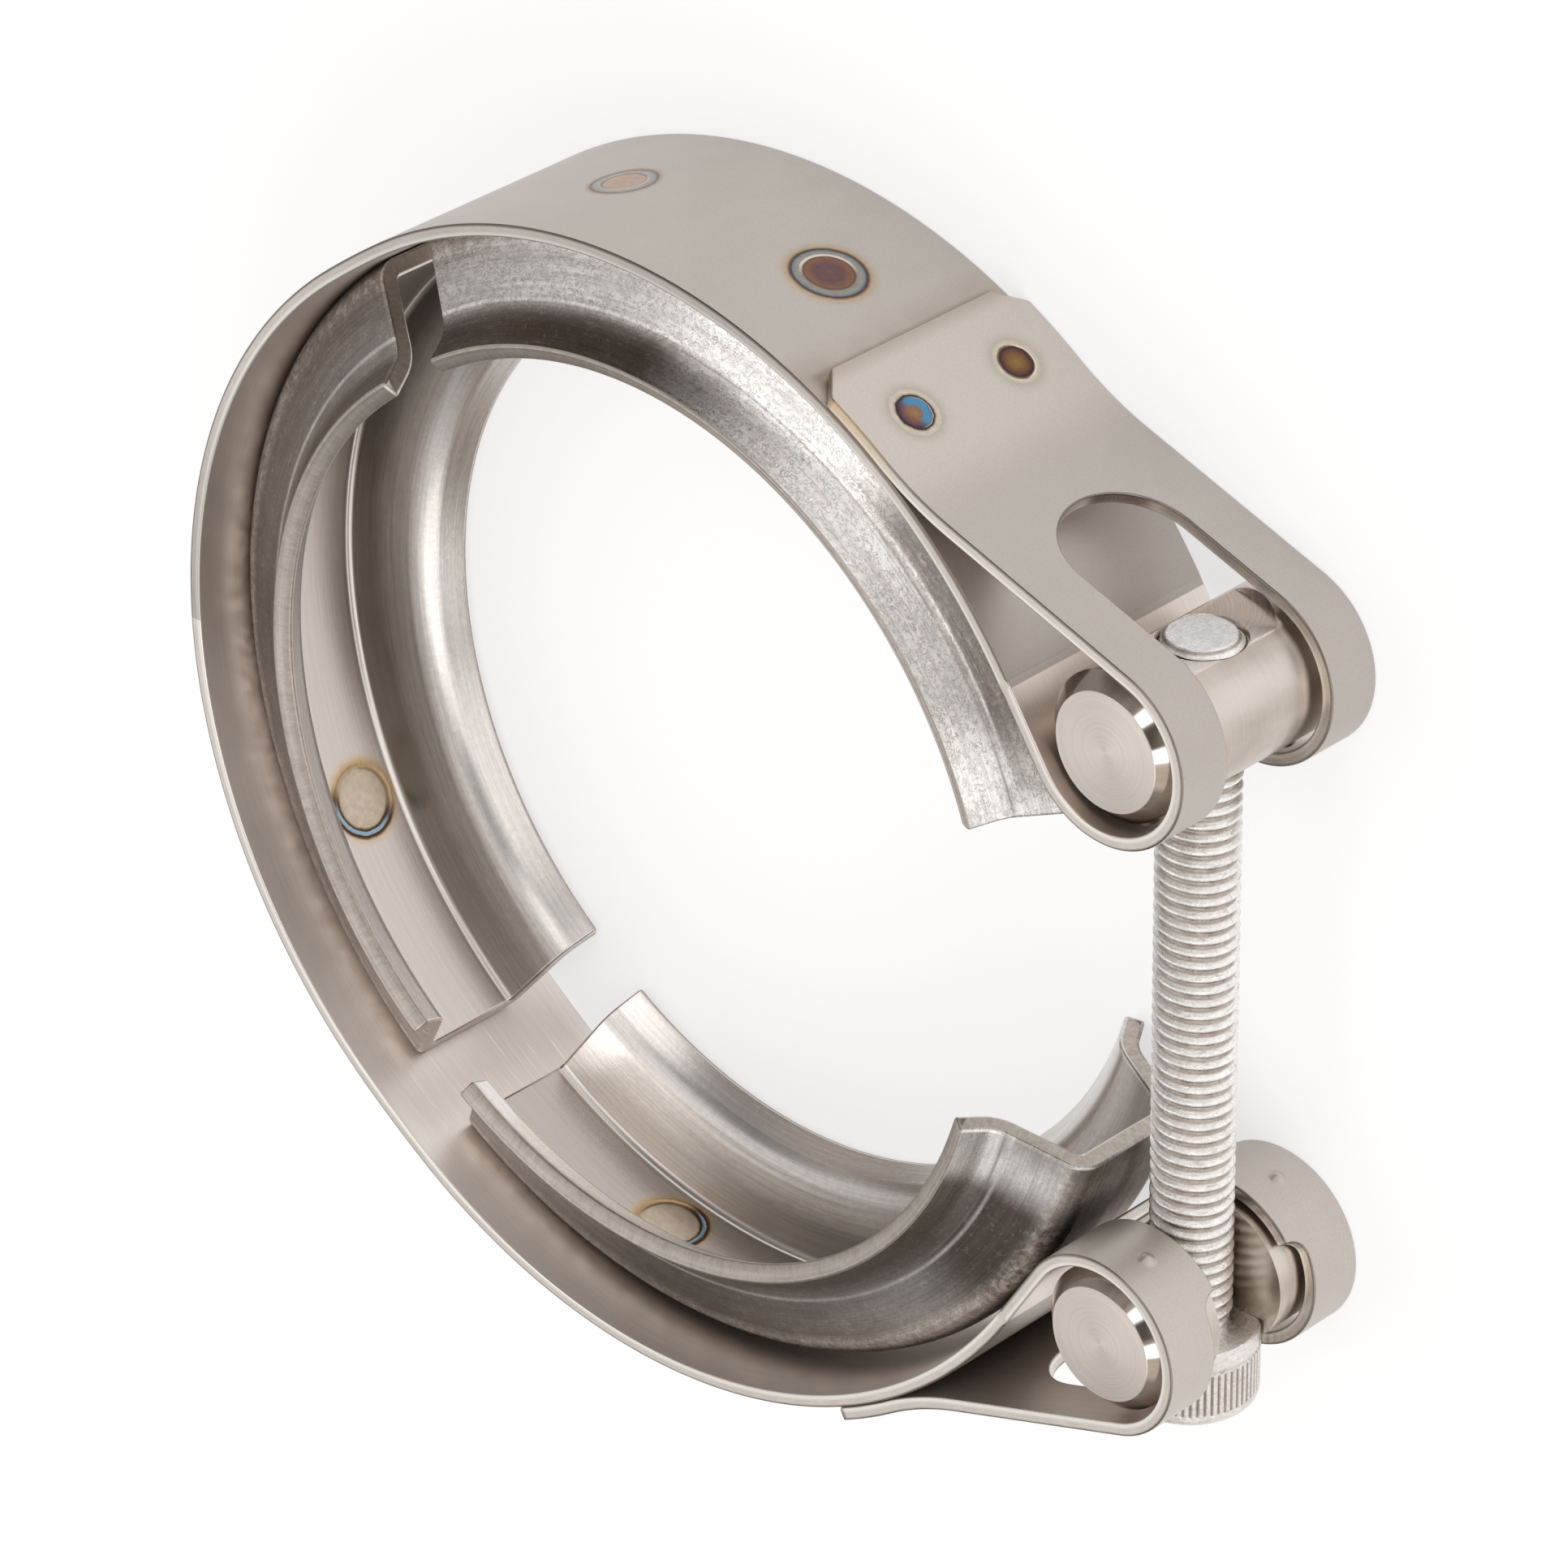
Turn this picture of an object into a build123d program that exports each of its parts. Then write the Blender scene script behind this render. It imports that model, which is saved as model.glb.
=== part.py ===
from build123d import *
from math import acos, atan2, cos, degrees, radians, sin, sqrt
import os

os.makedirs("parts", exist_ok=True)

# Strip of the band, radii are to the middle of the sheet
strip_thickness = 1.0
strip_width = 19.6
ring_radius = 43.0
tail_gap = 0.05
tail_length_angle = 9.6
tail_corner = 2.0

# Arc of one V segment, the flex gap between two, and how far each arm stands open
segment_arc = 105.2
flex_gap_angle = 8.8
upper_opening = 5.15
lower_opening = 4.55
lower_segment_tilt = 1.3

# Trunnions
bar_radius = 5.5
bar_inset = 0.25
bar_length = strip_width - 2 * bar_inset
bar_chamfer = 1.15
flat_depth = 0.75
flat_height = bar_radius - flat_depth
flat_cutter_radius = 6.5
flat_cutter_offset = 2.0
seat_depth = 2.6
seat_clearance = 0.02

# Clamp bolt, and the holes that are sized to it
shank_radius = 3.0
shank_length = 55.0
tip_chamfer = 0.6
head_radius = 5.0
head_height = 6.0
head_chamfer = 0.6
socket_size = 5.0
socket_depth = 3.2
thread_clearance = 0.05
shank_clearance = 0.2
head_clearance = 0.15
tapped_radius = shank_radius + thread_clearance
countersink_depth = 0.2
countersink_taper = 45.0
countersink_radius = tapped_radius + countersink_depth
cross_slot_width = 2 * (shank_radius + shank_clearance)
seat_radius = head_radius + head_clearance

# Loop round a trunnion, in the closed frame of its arm
bar_clearance = 0.45
loop_radius = bar_radius + bar_clearance + strip_thickness / 2
inner_leg_angle = 28.0
inner_leg_length = 6.3
outer_leg_angle = 156.05
blend_radius = 26.0

# Bolt slots in the loops, wide enough for the bolt head
head_passage = 0.3
shank_passage = 0.8
slot_width = 2 * (head_radius + head_passage)
narrow_slot_width = 2 * (shank_radius + shank_passage)
slot_leg_length = 8.7
cut_margin = 0.4
jog_angle = -28.5
jog_span = 4.0
jog_flat = 0.05
jog_corner = (slot_width - narrow_slot_width) / 2 - jog_flat

# Spot welds of the tails and stop dimples of the loops
nugget_radius = 1.5
nugget_angle = 53.0
nugget_offset = strip_width / 4
dimple_radius = 0.8
dimple_height = 0.35
dimple_root = 0.2
dimple_angle = -73.0
dimple_offset = (narrow_slot_width + strip_width) / 4

# V segments, radii are to the middle of the sheet
segment_thickness = 1.5
segment_gap = 0.05
leg_depth = 6.3
leg_spread = 2.05
lip_depth = 1.6
lip_spread = 2.6
lip_inset = 0.45
floor_radius = ring_radius - strip_thickness / 2 - segment_gap - segment_thickness / 2
flare_radius = floor_radius - leg_depth
lip_radius = flare_radius - lip_depth
lip_half_width = strip_width / 2 - lip_inset
flare_half_width = lip_half_width - lip_spread
floor_half_width = flare_half_width - leg_spread

# Derived angles and lengths of one arm
trunnion_distance = sqrt((ring_radius + loop_radius) ** 2 + inner_leg_length**2)
trunnion_angle = inner_leg_angle - degrees(atan2(inner_leg_length, ring_radius + loop_radius))
loop_turn = outer_leg_angle + 90 - inner_leg_angle
leg_normal_angle = outer_leg_angle - 90
leg_distance = trunnion_distance * cos(radians(leg_normal_angle - trunnion_angle)) + loop_radius
tail_radius = ring_radius + strip_thickness + tail_gap
blend_distance = tail_radius + blend_radius
blend_turn = degrees(acos((leg_distance + blend_radius) / blend_distance))
tail_start_angle = leg_normal_angle - blend_turn
leg_start = trunnion_distance * cos(radians(outer_leg_angle - trunnion_angle))
leg_end = blend_distance * cos(radians(outer_leg_angle - tail_start_angle))
outer_leg_length = leg_end - leg_start
segment_half_angle = segment_arc / 2
arm_segment_end = 180 - segment_half_angle - flex_gap_angle
arm_ring_angle = arm_segment_end - inner_leg_angle

# Hinge of the upper arm, at the middle of its flex gap, and the bolt's eye in the closed frame
hinge_angle = radians(180 - segment_half_angle - flex_gap_angle / 2)
hinge_x = ring_radius * cos(hinge_angle)
hinge_y = ring_radius * sin(hinge_angle)
local_x = trunnion_distance * cos(radians(trunnion_angle))
local_y = trunnion_distance * sin(radians(trunnion_angle))


def opened(x, y, opening):
    """Point of the closed frame once its arm stands open by an angle about the hinge."""
    turn = radians(opening)
    reach_x = x - hinge_x
    reach_y = y - hinge_y
    open_x = hinge_x + reach_x * cos(turn) - reach_y * sin(turn)
    open_y = hinge_y + reach_x * sin(turn) + reach_y * cos(turn)
    return (open_x, open_y)


def arm_plane(side, opening):
    """Frame that turns with one arm, its origin at the centre of the arm's arc."""
    x, y = opened(0, 0, opening)
    turn = radians(opening)
    return Plane(origin=(x, side * y, 0), x_dir=(cos(turn), side * sin(turn), 0), z_dir=(0, 0, side))


upper_arm = arm_plane(1, upper_opening)
lower_arm = arm_plane(-1, lower_opening)

# Both trunnions lie on the bolt's line, midway between the middles of the two loops
upper_loop_x, upper_bolt_y = opened(local_x, local_y, upper_opening)
lower_loop_x, lower_bolt_y = opened(local_x, local_y, lower_opening)
bolt_x = (upper_loop_x + lower_loop_x) / 2


def around(angle, reach):
    """Point at an angle and a reach from the loop's middle, in the closed frame."""
    return (local_x + reach * cos(radians(angle)), local_y + reach * sin(radians(angle)))


def along_leg(height, travel):
    """Point beside the outer leg, a travel past the end of the loop, in the closed frame."""
    x, y = around(leg_normal_angle, height)
    return (x + travel * cos(radians(outer_leg_angle)), y + travel * sin(radians(outer_leg_angle)))


def tangent_plane(x, y, z, angle, side):
    """Plane at a point of the closed frame, with its normal at an angle in that frame."""
    frame = upper_arm if side > 0 else lower_arm
    spot = frame.from_local_coords(Vector(x, y, z * side))
    open_angle = radians(angle + (upper_opening if side > 0 else lower_opening))
    return Plane(origin=spot, x_dir=(0, 0, 1), z_dir=(cos(open_angle), side * sin(open_angle), 0))


def strip_line(side, opening):
    """Middle line of half the strip, from the back of the ring round the loop to the tail's end."""
    gap_turn = flex_gap_angle - opening
    gap_radius = ring_radius * flex_gap_angle / gap_turn
    back = JernArc((-ring_radius, 0), (0, side), ring_radius, -side * segment_half_angle)
    flex = JernArc(back @ 1, back % 1, gap_radius, -side * gap_turn)
    arm = JernArc(flex @ 1, flex % 1, ring_radius, -side * arm_ring_angle)
    inner_leg = Line(arm @ 1, arm @ 1 + (arm % 1) * inner_leg_length)
    loop = JernArc(inner_leg @ 1, inner_leg % 1, loop_radius, side * loop_turn)
    outer_leg = Line(loop @ 1, loop @ 1 + (loop % 1) * outer_leg_length)
    blend = JernArc(outer_leg @ 1, outer_leg % 1, blend_radius, -side * blend_turn)
    tail = JernArc(blend @ 1, blend % 1, tail_radius, side * tail_length_angle)
    return tail @ 1


slot_reach = 2 * loop_radius - strip_thickness
slot_far_reach = slot_reach * sqrt(2)
slot_depth = strip_thickness / 2 + cut_margin
slot_start = around(inner_leg_angle + 180, slot_reach)
slot_end = [along_leg(loop_radius + depth, slot_leg_length) for depth in (slot_depth, -slot_depth)]
slot_far_side = [around(angle, slot_far_reach) for angle in (-90, -45, 0, 45)]
slot_outline = [(local_x, local_y), slot_start] + slot_far_side + slot_end
jog_start = around(jog_angle + jog_span, slot_reach)
jog_far_side = [around(angle, slot_far_reach) for angle in (jog_angle + jog_span, 0, 45)]
jog_outline = [(local_x, local_y), jog_start] + jog_far_side + slot_end

with BuildPart() as band:
    with BuildSketch():
        with BuildLine():
            tail_tips = [strip_line(1, upper_opening), strip_line(-1, lower_opening)]
        trace(line_width=strip_thickness)
    extrude(amount=strip_width / 2, both=True)
    # Corners of the two tails
    short_edges = band.edges().filter_by(lambda e: abs(e.length - strip_thickness) < tail_gap)
    for tip in tail_tips:
        chamfer(short_edges.sort_by_distance((tip.X, tip.Y, 0))[0:2], length=tail_corner)
    # Slot of the upper loop
    with BuildSketch(upper_arm):
        with BuildLine():
            Polyline(*slot_outline, close=True)
        make_face()
    extrude(amount=slot_width / 2, both=True, mode=Mode.SUBTRACT)
    # Narrow and wide parts of the slot of the lower loop
    with BuildSketch(lower_arm):
        with BuildLine():
            Polyline(*slot_outline, close=True)
        make_face()
    extrude(amount=narrow_slot_width / 2, both=True, mode=Mode.SUBTRACT)
    with BuildSketch(lower_arm):
        with BuildLine():
            Polyline(*jog_outline, close=True)
        make_face()
    extrude(amount=slot_width / 2, both=True, mode=Mode.SUBTRACT)
    # Rounded shoulders where the lower slot widens
    jog_x, jog_y = around(jog_angle, loop_radius)
    with BuildSketch(tangent_plane(jog_x, jog_y, 0, jog_angle, -1)):
        RectangleRounded(slot_width, 2 * (jog_corner + jog_flat), jog_corner)
    extrude(amount=slot_depth, both=True, mode=Mode.SUBTRACT)
    # Rounded slot ends in the outer legs, tail nuggets and loop dimples
    for side in (1, -1):
        end_x, end_y = along_leg(loop_radius, slot_leg_length)
        with BuildSketch(tangent_plane(end_x, end_y, 0, leg_normal_angle, side)):
            Circle(slot_width / 2)
        extrude(amount=slot_depth, both=True, mode=Mode.SUBTRACT)
        for edge in (1, -1):
            spot_x = ring_radius * cos(radians(nugget_angle))
            spot_y = ring_radius * sin(radians(nugget_angle))
            with BuildSketch(tangent_plane(spot_x, spot_y, edge * nugget_offset, nugget_angle, side)):
                Circle(nugget_radius)
            extrude(amount=tail_radius - ring_radius)
            local_dimple = dimple_angle - (upper_opening if side > 0 else lower_opening)
            dimple_reach = loop_radius + strip_thickness / 2 - dimple_root
            spot_x, spot_y = around(local_dimple, dimple_reach)
            with BuildSketch(tangent_plane(spot_x, spot_y, edge * dimple_offset, local_dimple, side)):
                Circle(dimple_radius)
            extrude(amount=dimple_height + dimple_root)
band.part.label = "band"
export_step(band.part, "parts/band.step")

profile = [
    (lip_radius, lip_half_width),
    (flare_radius, flare_half_width),
    (floor_radius, floor_half_width),
    (floor_radius, -floor_half_width),
    (flare_radius, -flare_half_width),
    (lip_radius, -lip_half_width),
]


def sweep_plane(frame, angle):
    """Plane through the ring's axis in a frame, from which a V segment is swept toward the bolt."""
    out = Vector(cos(radians(angle)), sin(radians(angle)), 0)
    ahead = Vector(sin(radians(angle)), -cos(radians(angle)), 0)
    spot = frame.from_local_coords(out) - frame.origin
    heading = frame.from_local_coords(ahead) - frame.origin
    return Plane(origin=frame.origin, x_dir=spot, z_dir=heading)


with BuildPart() as segment_middle:
    with BuildSketch(sweep_plane(Plane.XY, 180 + segment_half_angle)):
        with BuildLine():
            Polyline(*profile)
        trace(line_width=segment_thickness)
    revolve(axis=Axis.Z, revolution_arc=-segment_arc)
segment_middle.part.label = "segment_middle"
export_step(segment_middle.part, "parts/segment_middle.step")

with BuildPart() as segment_upper:
    with BuildSketch(sweep_plane(upper_arm, arm_segment_end)):
        with BuildLine():
            Polyline(*profile)
        trace(line_width=segment_thickness)
    revolve(axis=Axis(upper_arm.origin, (0, 0, 1)), revolution_arc=-segment_arc)
segment_upper.part.label = "segment_upper"
export_step(segment_upper.part, "parts/segment_upper.step")

# The lower segment is welded near the flex gap only, and its far end stands off the strip
weld_reach = ring_radius - strip_thickness / 2 - segment_gap
weld_x = weld_reach * cos(radians(arm_segment_end))
weld_y = weld_reach * sin(radians(arm_segment_end))
tilt_cos = cos(radians(lower_segment_tilt))
tilt_sin = sin(radians(lower_segment_tilt))
tilt_x = weld_x - weld_x * tilt_cos - weld_y * tilt_sin
tilt_y = weld_y + weld_x * tilt_sin - weld_y * tilt_cos
tilt_heading = radians(lower_opening - lower_segment_tilt)
stood_off = Plane(
    origin=lower_arm.from_local_coords(Vector(tilt_x, tilt_y, 0)),
    x_dir=(cos(tilt_heading), -sin(tilt_heading), 0),
    z_dir=(0, 0, -1),
)
with BuildPart() as segment_lower:
    with BuildSketch(sweep_plane(stood_off, arm_segment_end)):
        with BuildLine():
            Polyline(*profile)
        trace(line_width=segment_thickness)
    revolve(axis=Axis(stood_off.origin, (0, 0, 1)), revolution_arc=segment_arc)
segment_lower.part.label = "segment_lower"
export_step(segment_lower.part, "parts/segment_lower.step")

with BuildPart() as upper_trunnion:
    with BuildSketch(Plane(origin=(bolt_x, upper_bolt_y, 0))):
        Circle(bar_radius)
    extrude(amount=bar_length / 2, both=True)
    chamfer(upper_trunnion.edges().filter_by(GeomType.CIRCLE), length=bar_chamfer)
    flat_centre = (bolt_x - flat_cutter_offset, upper_bolt_y + flat_height, 0)
    with BuildSketch(Plane(origin=flat_centre, z_dir=(0, 1, 0))):
        Circle(flat_cutter_radius)
    extrude(amount=bar_radius, mode=Mode.SUBTRACT)
    with BuildSketch(Plane(origin=(bolt_x, upper_bolt_y, 0), z_dir=(0, 1, 0))):
        Circle(tapped_radius)
    extrude(amount=bar_radius, both=True, mode=Mode.SUBTRACT)
    with BuildSketch(Plane(origin=(bolt_x, upper_bolt_y + flat_height, 0), z_dir=(0, -1, 0))):
        Circle(countersink_radius)
    extrude(amount=countersink_depth, taper=countersink_taper, mode=Mode.SUBTRACT)
upper_trunnion.part.label = "upper_trunnion"
export_step(upper_trunnion.part, "parts/upper_trunnion.step")

seat_y = -lower_bolt_y - seat_depth
with BuildPart() as lower_trunnion:
    with BuildSketch(Plane(origin=(bolt_x, -lower_bolt_y, 0))):
        Circle(bar_radius)
    extrude(amount=bar_length / 2, both=True)
    chamfer(lower_trunnion.edges().filter_by(GeomType.CIRCLE), length=bar_chamfer)
    with BuildSketch(Plane(origin=(bolt_x, -lower_bolt_y, 0), x_dir=(1, 0, 0), z_dir=(0, 1, 0))):
        Circle(cross_slot_width / 2)
        Rectangle(2 * bar_radius, cross_slot_width, align=(Align.MIN, Align.CENTER))
    extrude(amount=2 * bar_radius, both=True, mode=Mode.SUBTRACT)
    seat_plane = Plane(origin=(bolt_x, seat_y + seat_clearance, 0), x_dir=(1, 0, 0), z_dir=(0, -1, 0))
    with BuildSketch(seat_plane):
        Circle(seat_radius)
    extrude(amount=bar_radius, mode=Mode.SUBTRACT)
lower_trunnion.part.label = "lower_trunnion"
export_step(lower_trunnion.part, "parts/lower_trunnion.step")

underside = Plane(origin=(bolt_x, seat_y, 0), x_dir=(1, 0, 0), z_dir=(0, 1, 0))
with BuildPart() as clamp_bolt:
    with BuildSketch(underside):
        Circle(shank_radius)
    extrude(amount=shank_length)
    tip_edges = clamp_bolt.edges().filter_by(GeomType.CIRCLE).sort_by(Axis.Y)[-1:]
    chamfer(tip_edges, length=tip_chamfer)
    with BuildSketch(underside):
        Circle(head_radius)
    extrude(amount=-head_height)
    chamfer(clamp_bolt.edges().filter_by(GeomType.CIRCLE).sort_by(Axis.Y)[:1], length=head_chamfer)
    with BuildSketch(underside.offset(-head_height)):
        RegularPolygon(socket_size / 2, 6, major_radius=False)
    extrude(amount=socket_depth, mode=Mode.SUBTRACT)
clamp_bolt.part.label = "clamp_bolt"
export_step(clamp_bolt.part, "parts/clamp_bolt.step")
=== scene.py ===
"""Looks of the V-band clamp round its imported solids. Lengths are in millimetres until a mesh is made."""

import math

import bmesh
import bpy
import numpy as np
from mathutils import Matrix, Vector, geometry


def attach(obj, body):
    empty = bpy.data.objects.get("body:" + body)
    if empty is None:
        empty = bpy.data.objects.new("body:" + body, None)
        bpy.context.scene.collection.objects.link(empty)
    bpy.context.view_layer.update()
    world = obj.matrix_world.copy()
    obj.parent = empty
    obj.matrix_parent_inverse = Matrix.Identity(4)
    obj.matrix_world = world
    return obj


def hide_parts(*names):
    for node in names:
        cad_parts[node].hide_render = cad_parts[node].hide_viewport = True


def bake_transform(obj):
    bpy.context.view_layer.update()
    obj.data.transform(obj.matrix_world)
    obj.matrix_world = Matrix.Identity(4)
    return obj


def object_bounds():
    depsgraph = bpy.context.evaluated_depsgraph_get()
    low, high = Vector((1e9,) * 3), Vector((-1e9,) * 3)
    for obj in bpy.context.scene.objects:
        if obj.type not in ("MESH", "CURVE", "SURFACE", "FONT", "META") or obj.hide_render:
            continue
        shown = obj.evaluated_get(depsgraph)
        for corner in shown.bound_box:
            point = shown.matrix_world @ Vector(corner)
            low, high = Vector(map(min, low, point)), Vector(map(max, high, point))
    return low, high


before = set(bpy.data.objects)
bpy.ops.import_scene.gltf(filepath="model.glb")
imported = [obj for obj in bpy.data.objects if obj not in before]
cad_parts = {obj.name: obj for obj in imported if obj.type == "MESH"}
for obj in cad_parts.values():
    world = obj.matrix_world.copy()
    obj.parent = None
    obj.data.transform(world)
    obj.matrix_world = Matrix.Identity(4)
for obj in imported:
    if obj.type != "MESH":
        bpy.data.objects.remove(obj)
cad_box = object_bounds()

MM = 0.001
UV_SCALE = 100.0

# Sizes, as in the solids
STRIP_T = 1.0
STRIP_W = 19.6
RING_R = 43.0
TAIL_R = 44.05
TAIL_ANGLE = 9.6
TAIL_CORNER = 2.0
SEG_ARC = 105.2
SEG_HALF = SEG_ARC / 2
GAP_ANGLE = 8.8
UPPER_OPENING = 5.15
LOWER_OPENING = 4.55
LOWER_TILT = 1.3
LOOP_R = 6.45
INNER_LEG_ANGLE = 28.0
INNER_LEG = 6.3
OUTER_LEG_ANGLE = 156.05
BLEND_R = 26.0
BAR_R = 5.5
BAR_L = 19.1
BAR_CHAMFER = 1.15
FLAT_HEIGHT = 4.75
FLAT_CUTTER = 6.5
FLAT_OFFSET = 2.0
COUNTERSINK = 0.2
SHANK_R = 3.0
SHANK_L = 55.0
HEAD_R = 5.0
HEAD_H = 6.0
SOCKET = 5.0
SOCKET_DEPTH = 3.2
SEAT_DEPTH = 2.6
SLOT_W = 10.6
NARROW_W = 7.6
SLOT_LEG = 8.7
JOG_ANGLE = 123.5
SEG_T = 1.5
FLOOR_R = 41.7
FLOOR_Z = 4.7
FLARE_R = 35.4
FLARE_Z = 6.75
LIP_R = 33.8
LIP_Z = 9.35
FLOOR_BEND = 1.4
FLARE_BEND = 3.0
WELD_GAP = 0.05

rad = math.radians


def unit(angle):
    """The direction at an angle in degrees."""
    return np.array([math.cos(rad(angle)), math.sin(rad(angle))])


def rotate(p, angle):
    """Points turned about the origin by an angle in degrees."""
    c, s = unit(angle)
    return np.stack([p[..., 0] * c - p[..., 1] * s, p[..., 0] * s + p[..., 1] * c], -1)


def left_of(d):
    """Directions turned a quarter to the left."""
    return np.stack([-d[..., 1], d[..., 0]], -1)


def normal(v):
    """Vectors brought to length 1."""
    return v / np.linalg.norm(v, axis=-1, keepdims=True)


# Layout of one arm
trunnion_d = math.hypot(RING_R + LOOP_R, INNER_LEG)
trunnion_a = INNER_LEG_ANGLE - math.degrees(math.atan2(INNER_LEG, RING_R + LOOP_R))
loop_turn = OUTER_LEG_ANGLE + 90 - INNER_LEG_ANGLE
leg_normal = OUTER_LEG_ANGLE - 90
leg_d = trunnion_d * math.cos(rad(leg_normal - trunnion_a)) + LOOP_R
blend_d = TAIL_R + BLEND_R
blend_turn = math.degrees(math.acos((leg_d + BLEND_R) / blend_d))
tail_start = leg_normal - blend_turn
outer_leg = blend_d * math.cos(rad(OUTER_LEG_ANGLE - tail_start))
outer_leg -= trunnion_d * math.cos(rad(OUTER_LEG_ANGLE - trunnion_a))
gap_len = RING_R * rad(GAP_ANGLE)
HINGE = RING_R * unit(180 - SEG_HALF - GAP_ANGLE / 2)


def open_arm(p, opening):
    """A point of the closed arm frame, moved to where an arm opened by an angle holds it."""
    return rotate(np.asarray(p, float) - HINGE, opening) + HINGE


LOOP_CENTRE = trunnion_d * unit(trunnion_a)
UPPER_LOOP = open_arm(LOOP_CENTRE, UPPER_OPENING)
LOWER_LOOP = open_arm(LOOP_CENTRE, LOWER_OPENING)

# The strip's middle line as runs of (length, curvature), from the back of the ring to the tail
RUNS = [
    (RING_R * rad(SEG_HALF), -1 / RING_R),
    (gap_len, 0.0),
    (RING_R * rad(180 - SEG_HALF - GAP_ANGLE - INNER_LEG_ANGLE), -1 / RING_R),
    (INNER_LEG, 0.0),
    (LOOP_R * rad(loop_turn), 1 / LOOP_R),
    (outer_leg, 0.0),
    (BLEND_R * rad(blend_turn), -1 / BLEND_R),
    (TAIL_R * rad(TAIL_ANGLE), 1 / TAIL_R),
]
GAP_RUN = 1
run_s = np.concatenate([[0], np.cumsum([length for length, _ in RUNS])])
_, GAP_S, GAP_END_S, INNER_LEG_S, LOOP_S, LEG_S, BLEND_S, _, STRIP_L = run_s


def chord(d, k, a):
    """The straight way covered by a length d of a run with curvature k and first heading a."""
    far, mid = d * np.sinc(k * d / math.tau), a + k * d / 2
    return np.stack([far * np.cos(mid), far * np.sin(mid)], -1)


def strip_frame(s, opening):
    """Middle line and direction at lengths s of half the strip, its arm opened."""
    s = np.asarray(s, float)
    pos = np.zeros((len(s), 2))
    head = np.zeros(len(s))
    p, a = np.array([-RING_R, 0.0]), math.pi / 2
    for i, (length, k) in enumerate(RUNS):
        if i == GAP_RUN:
            k = -rad(GAP_ANGLE - opening) / gap_len
        last = i == len(RUNS) - 1
        m = (s >= run_s[i] - 1e-9) & ((s < run_s[i + 1]) | last)
        d = s[m] - run_s[i]
        pos[m], head[m] = p + chord(d, k, a), a + k * d
        p, a = p + chord(length, k, a), a + k * length
    return pos, np.stack([np.cos(head), np.sin(head)], -1)


def new_mesh(name, verts, faces):
    """A mesh from millimetre points."""
    mesh = bpy.data.meshes.new(name)
    mesh.from_pydata((verts * MM).tolist(), [], faces)
    return mesh


def link(mesh):
    obj = bpy.data.objects.new(mesh.name, mesh)
    bpy.context.scene.collection.objects.link(obj)
    return obj


def stand_for(obj, node, body=None):
    """Hides the CAD node that an object stands in for, and hangs the object on a body if one is given."""
    if body is not None:
        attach(obj, body)
    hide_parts(node)


def sheet_object(name, faces, points):
    """A sheet from rows of millimetre points, normals, flat coordinates and sheet sides."""
    verts, normals, uv, side = (np.concatenate(column) for column in zip(*points))
    mesh = new_mesh(name, verts, faces)
    mesh.shade_smooth()
    loops = np.zeros(len(mesh.loops), dtype=np.int32)
    mesh.loops.foreach_get("vertex_index", loops)
    layer = mesh.uv_layers.new(name="flat")
    layer.data.foreach_set("uv", (uv[loops] / UV_SCALE).astype(np.float32).ravel())
    attribute = mesh.attributes.new("side", "FLOAT", "POINT")
    attribute.data.foreach_set("value", side.astype(np.float32))
    mesh.normals_split_custom_set_from_vertices(normal(normals).tolist())
    mesh.update()
    return link(mesh)


def skin(rings, closed=True, flip=False):
    """Quads between rings of point numbers that follow each other."""
    faces = []
    for a, b in zip(rings[:-1], rings[1:]):
        for i in range(len(a) if closed else len(a) - 1):
            j = (i + 1) % len(a)
            faces.append((a[i], b[i], b[j], a[j]) if flip else (a[i], a[j], b[j], b[i]))
    return faces


# A cut edge is rounded in steps; its side value runs from 1 on the face to 0.2 at the middle of the edge
RIM_STEPS = 3
RIM_TURNS = [rad(90 * k / RIM_STEPS) for k in range(1, RIM_STEPS + 1)]
EDGE_SIDE = 0.2


def rim_side(phi):
    return EDGE_SIDE + 0.3 * math.cos(phi)


# Band
RIM = 0.16
OUTLINE_STEP = 0.5
HOLE_STEP = 0.45
LOOP_STEP = 0.42
LEG_STEP = 0.7
RING_STEP = 0.9
ROW_STEP = 0.9
RIM_CLEAR = 0.33
SLOT_CORNER = 1.0
DIMPLE_H = 0.35
DIMPLE_R = 0.75
DIMPLE_CLEAR = 1.2
DIMPLE_RINGS = (0.0, 0.2, 0.4, 0.6, 0.8, 1.0)
DIMPLE_Z = 6.9
DIMPLE_ANGLE = 73
dimple_s = LOOP_S + LOOP_R * rad((360 - DIMPLE_ANGLE - UPPER_OPENING) - (180 + INNER_LEG_ANGLE))
DIMPLES = ((dimple_s, DIMPLE_Z), (dimple_s, -DIMPLE_Z))


def resample(points, step):
    """Points along a polyline so that no gap is over step, corners kept."""
    out = []
    for a, b in zip(points[:-1], points[1:]):
        a, b = np.array(a, float), np.array(b, float)
        n = max(1, int(math.ceil(np.linalg.norm(b - a) / step)))
        out += [a + (b - a) * i / n for i in range(n)]
    out.append(np.array(points[-1], float))
    return np.array(out)


def arc_points(cx, cy, r, a0, a1, n):
    return [(cx + r * math.cos(x), cy + r * math.sin(x)) for x in np.linspace(rad(a0), rad(a1), n)]


def inset_path(p, amount, closed):
    """Material-side normals of a path with its material on the left, its mitres, and the path moved in."""
    d1, d2 = p - np.roll(p, 1, 0), np.roll(p, -1, 0) - p
    if not closed:
        d1[0], d2[-1] = d2[0], d1[-1]
    n1, n2 = left_of(normal(d1)), left_of(normal(d2))
    m = normal(n1 + n2)
    miter = 1 / np.clip((m * n1).sum(1), 0.6, 1)
    return m, miter, p + m * (amount * miter)[:, None]


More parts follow.
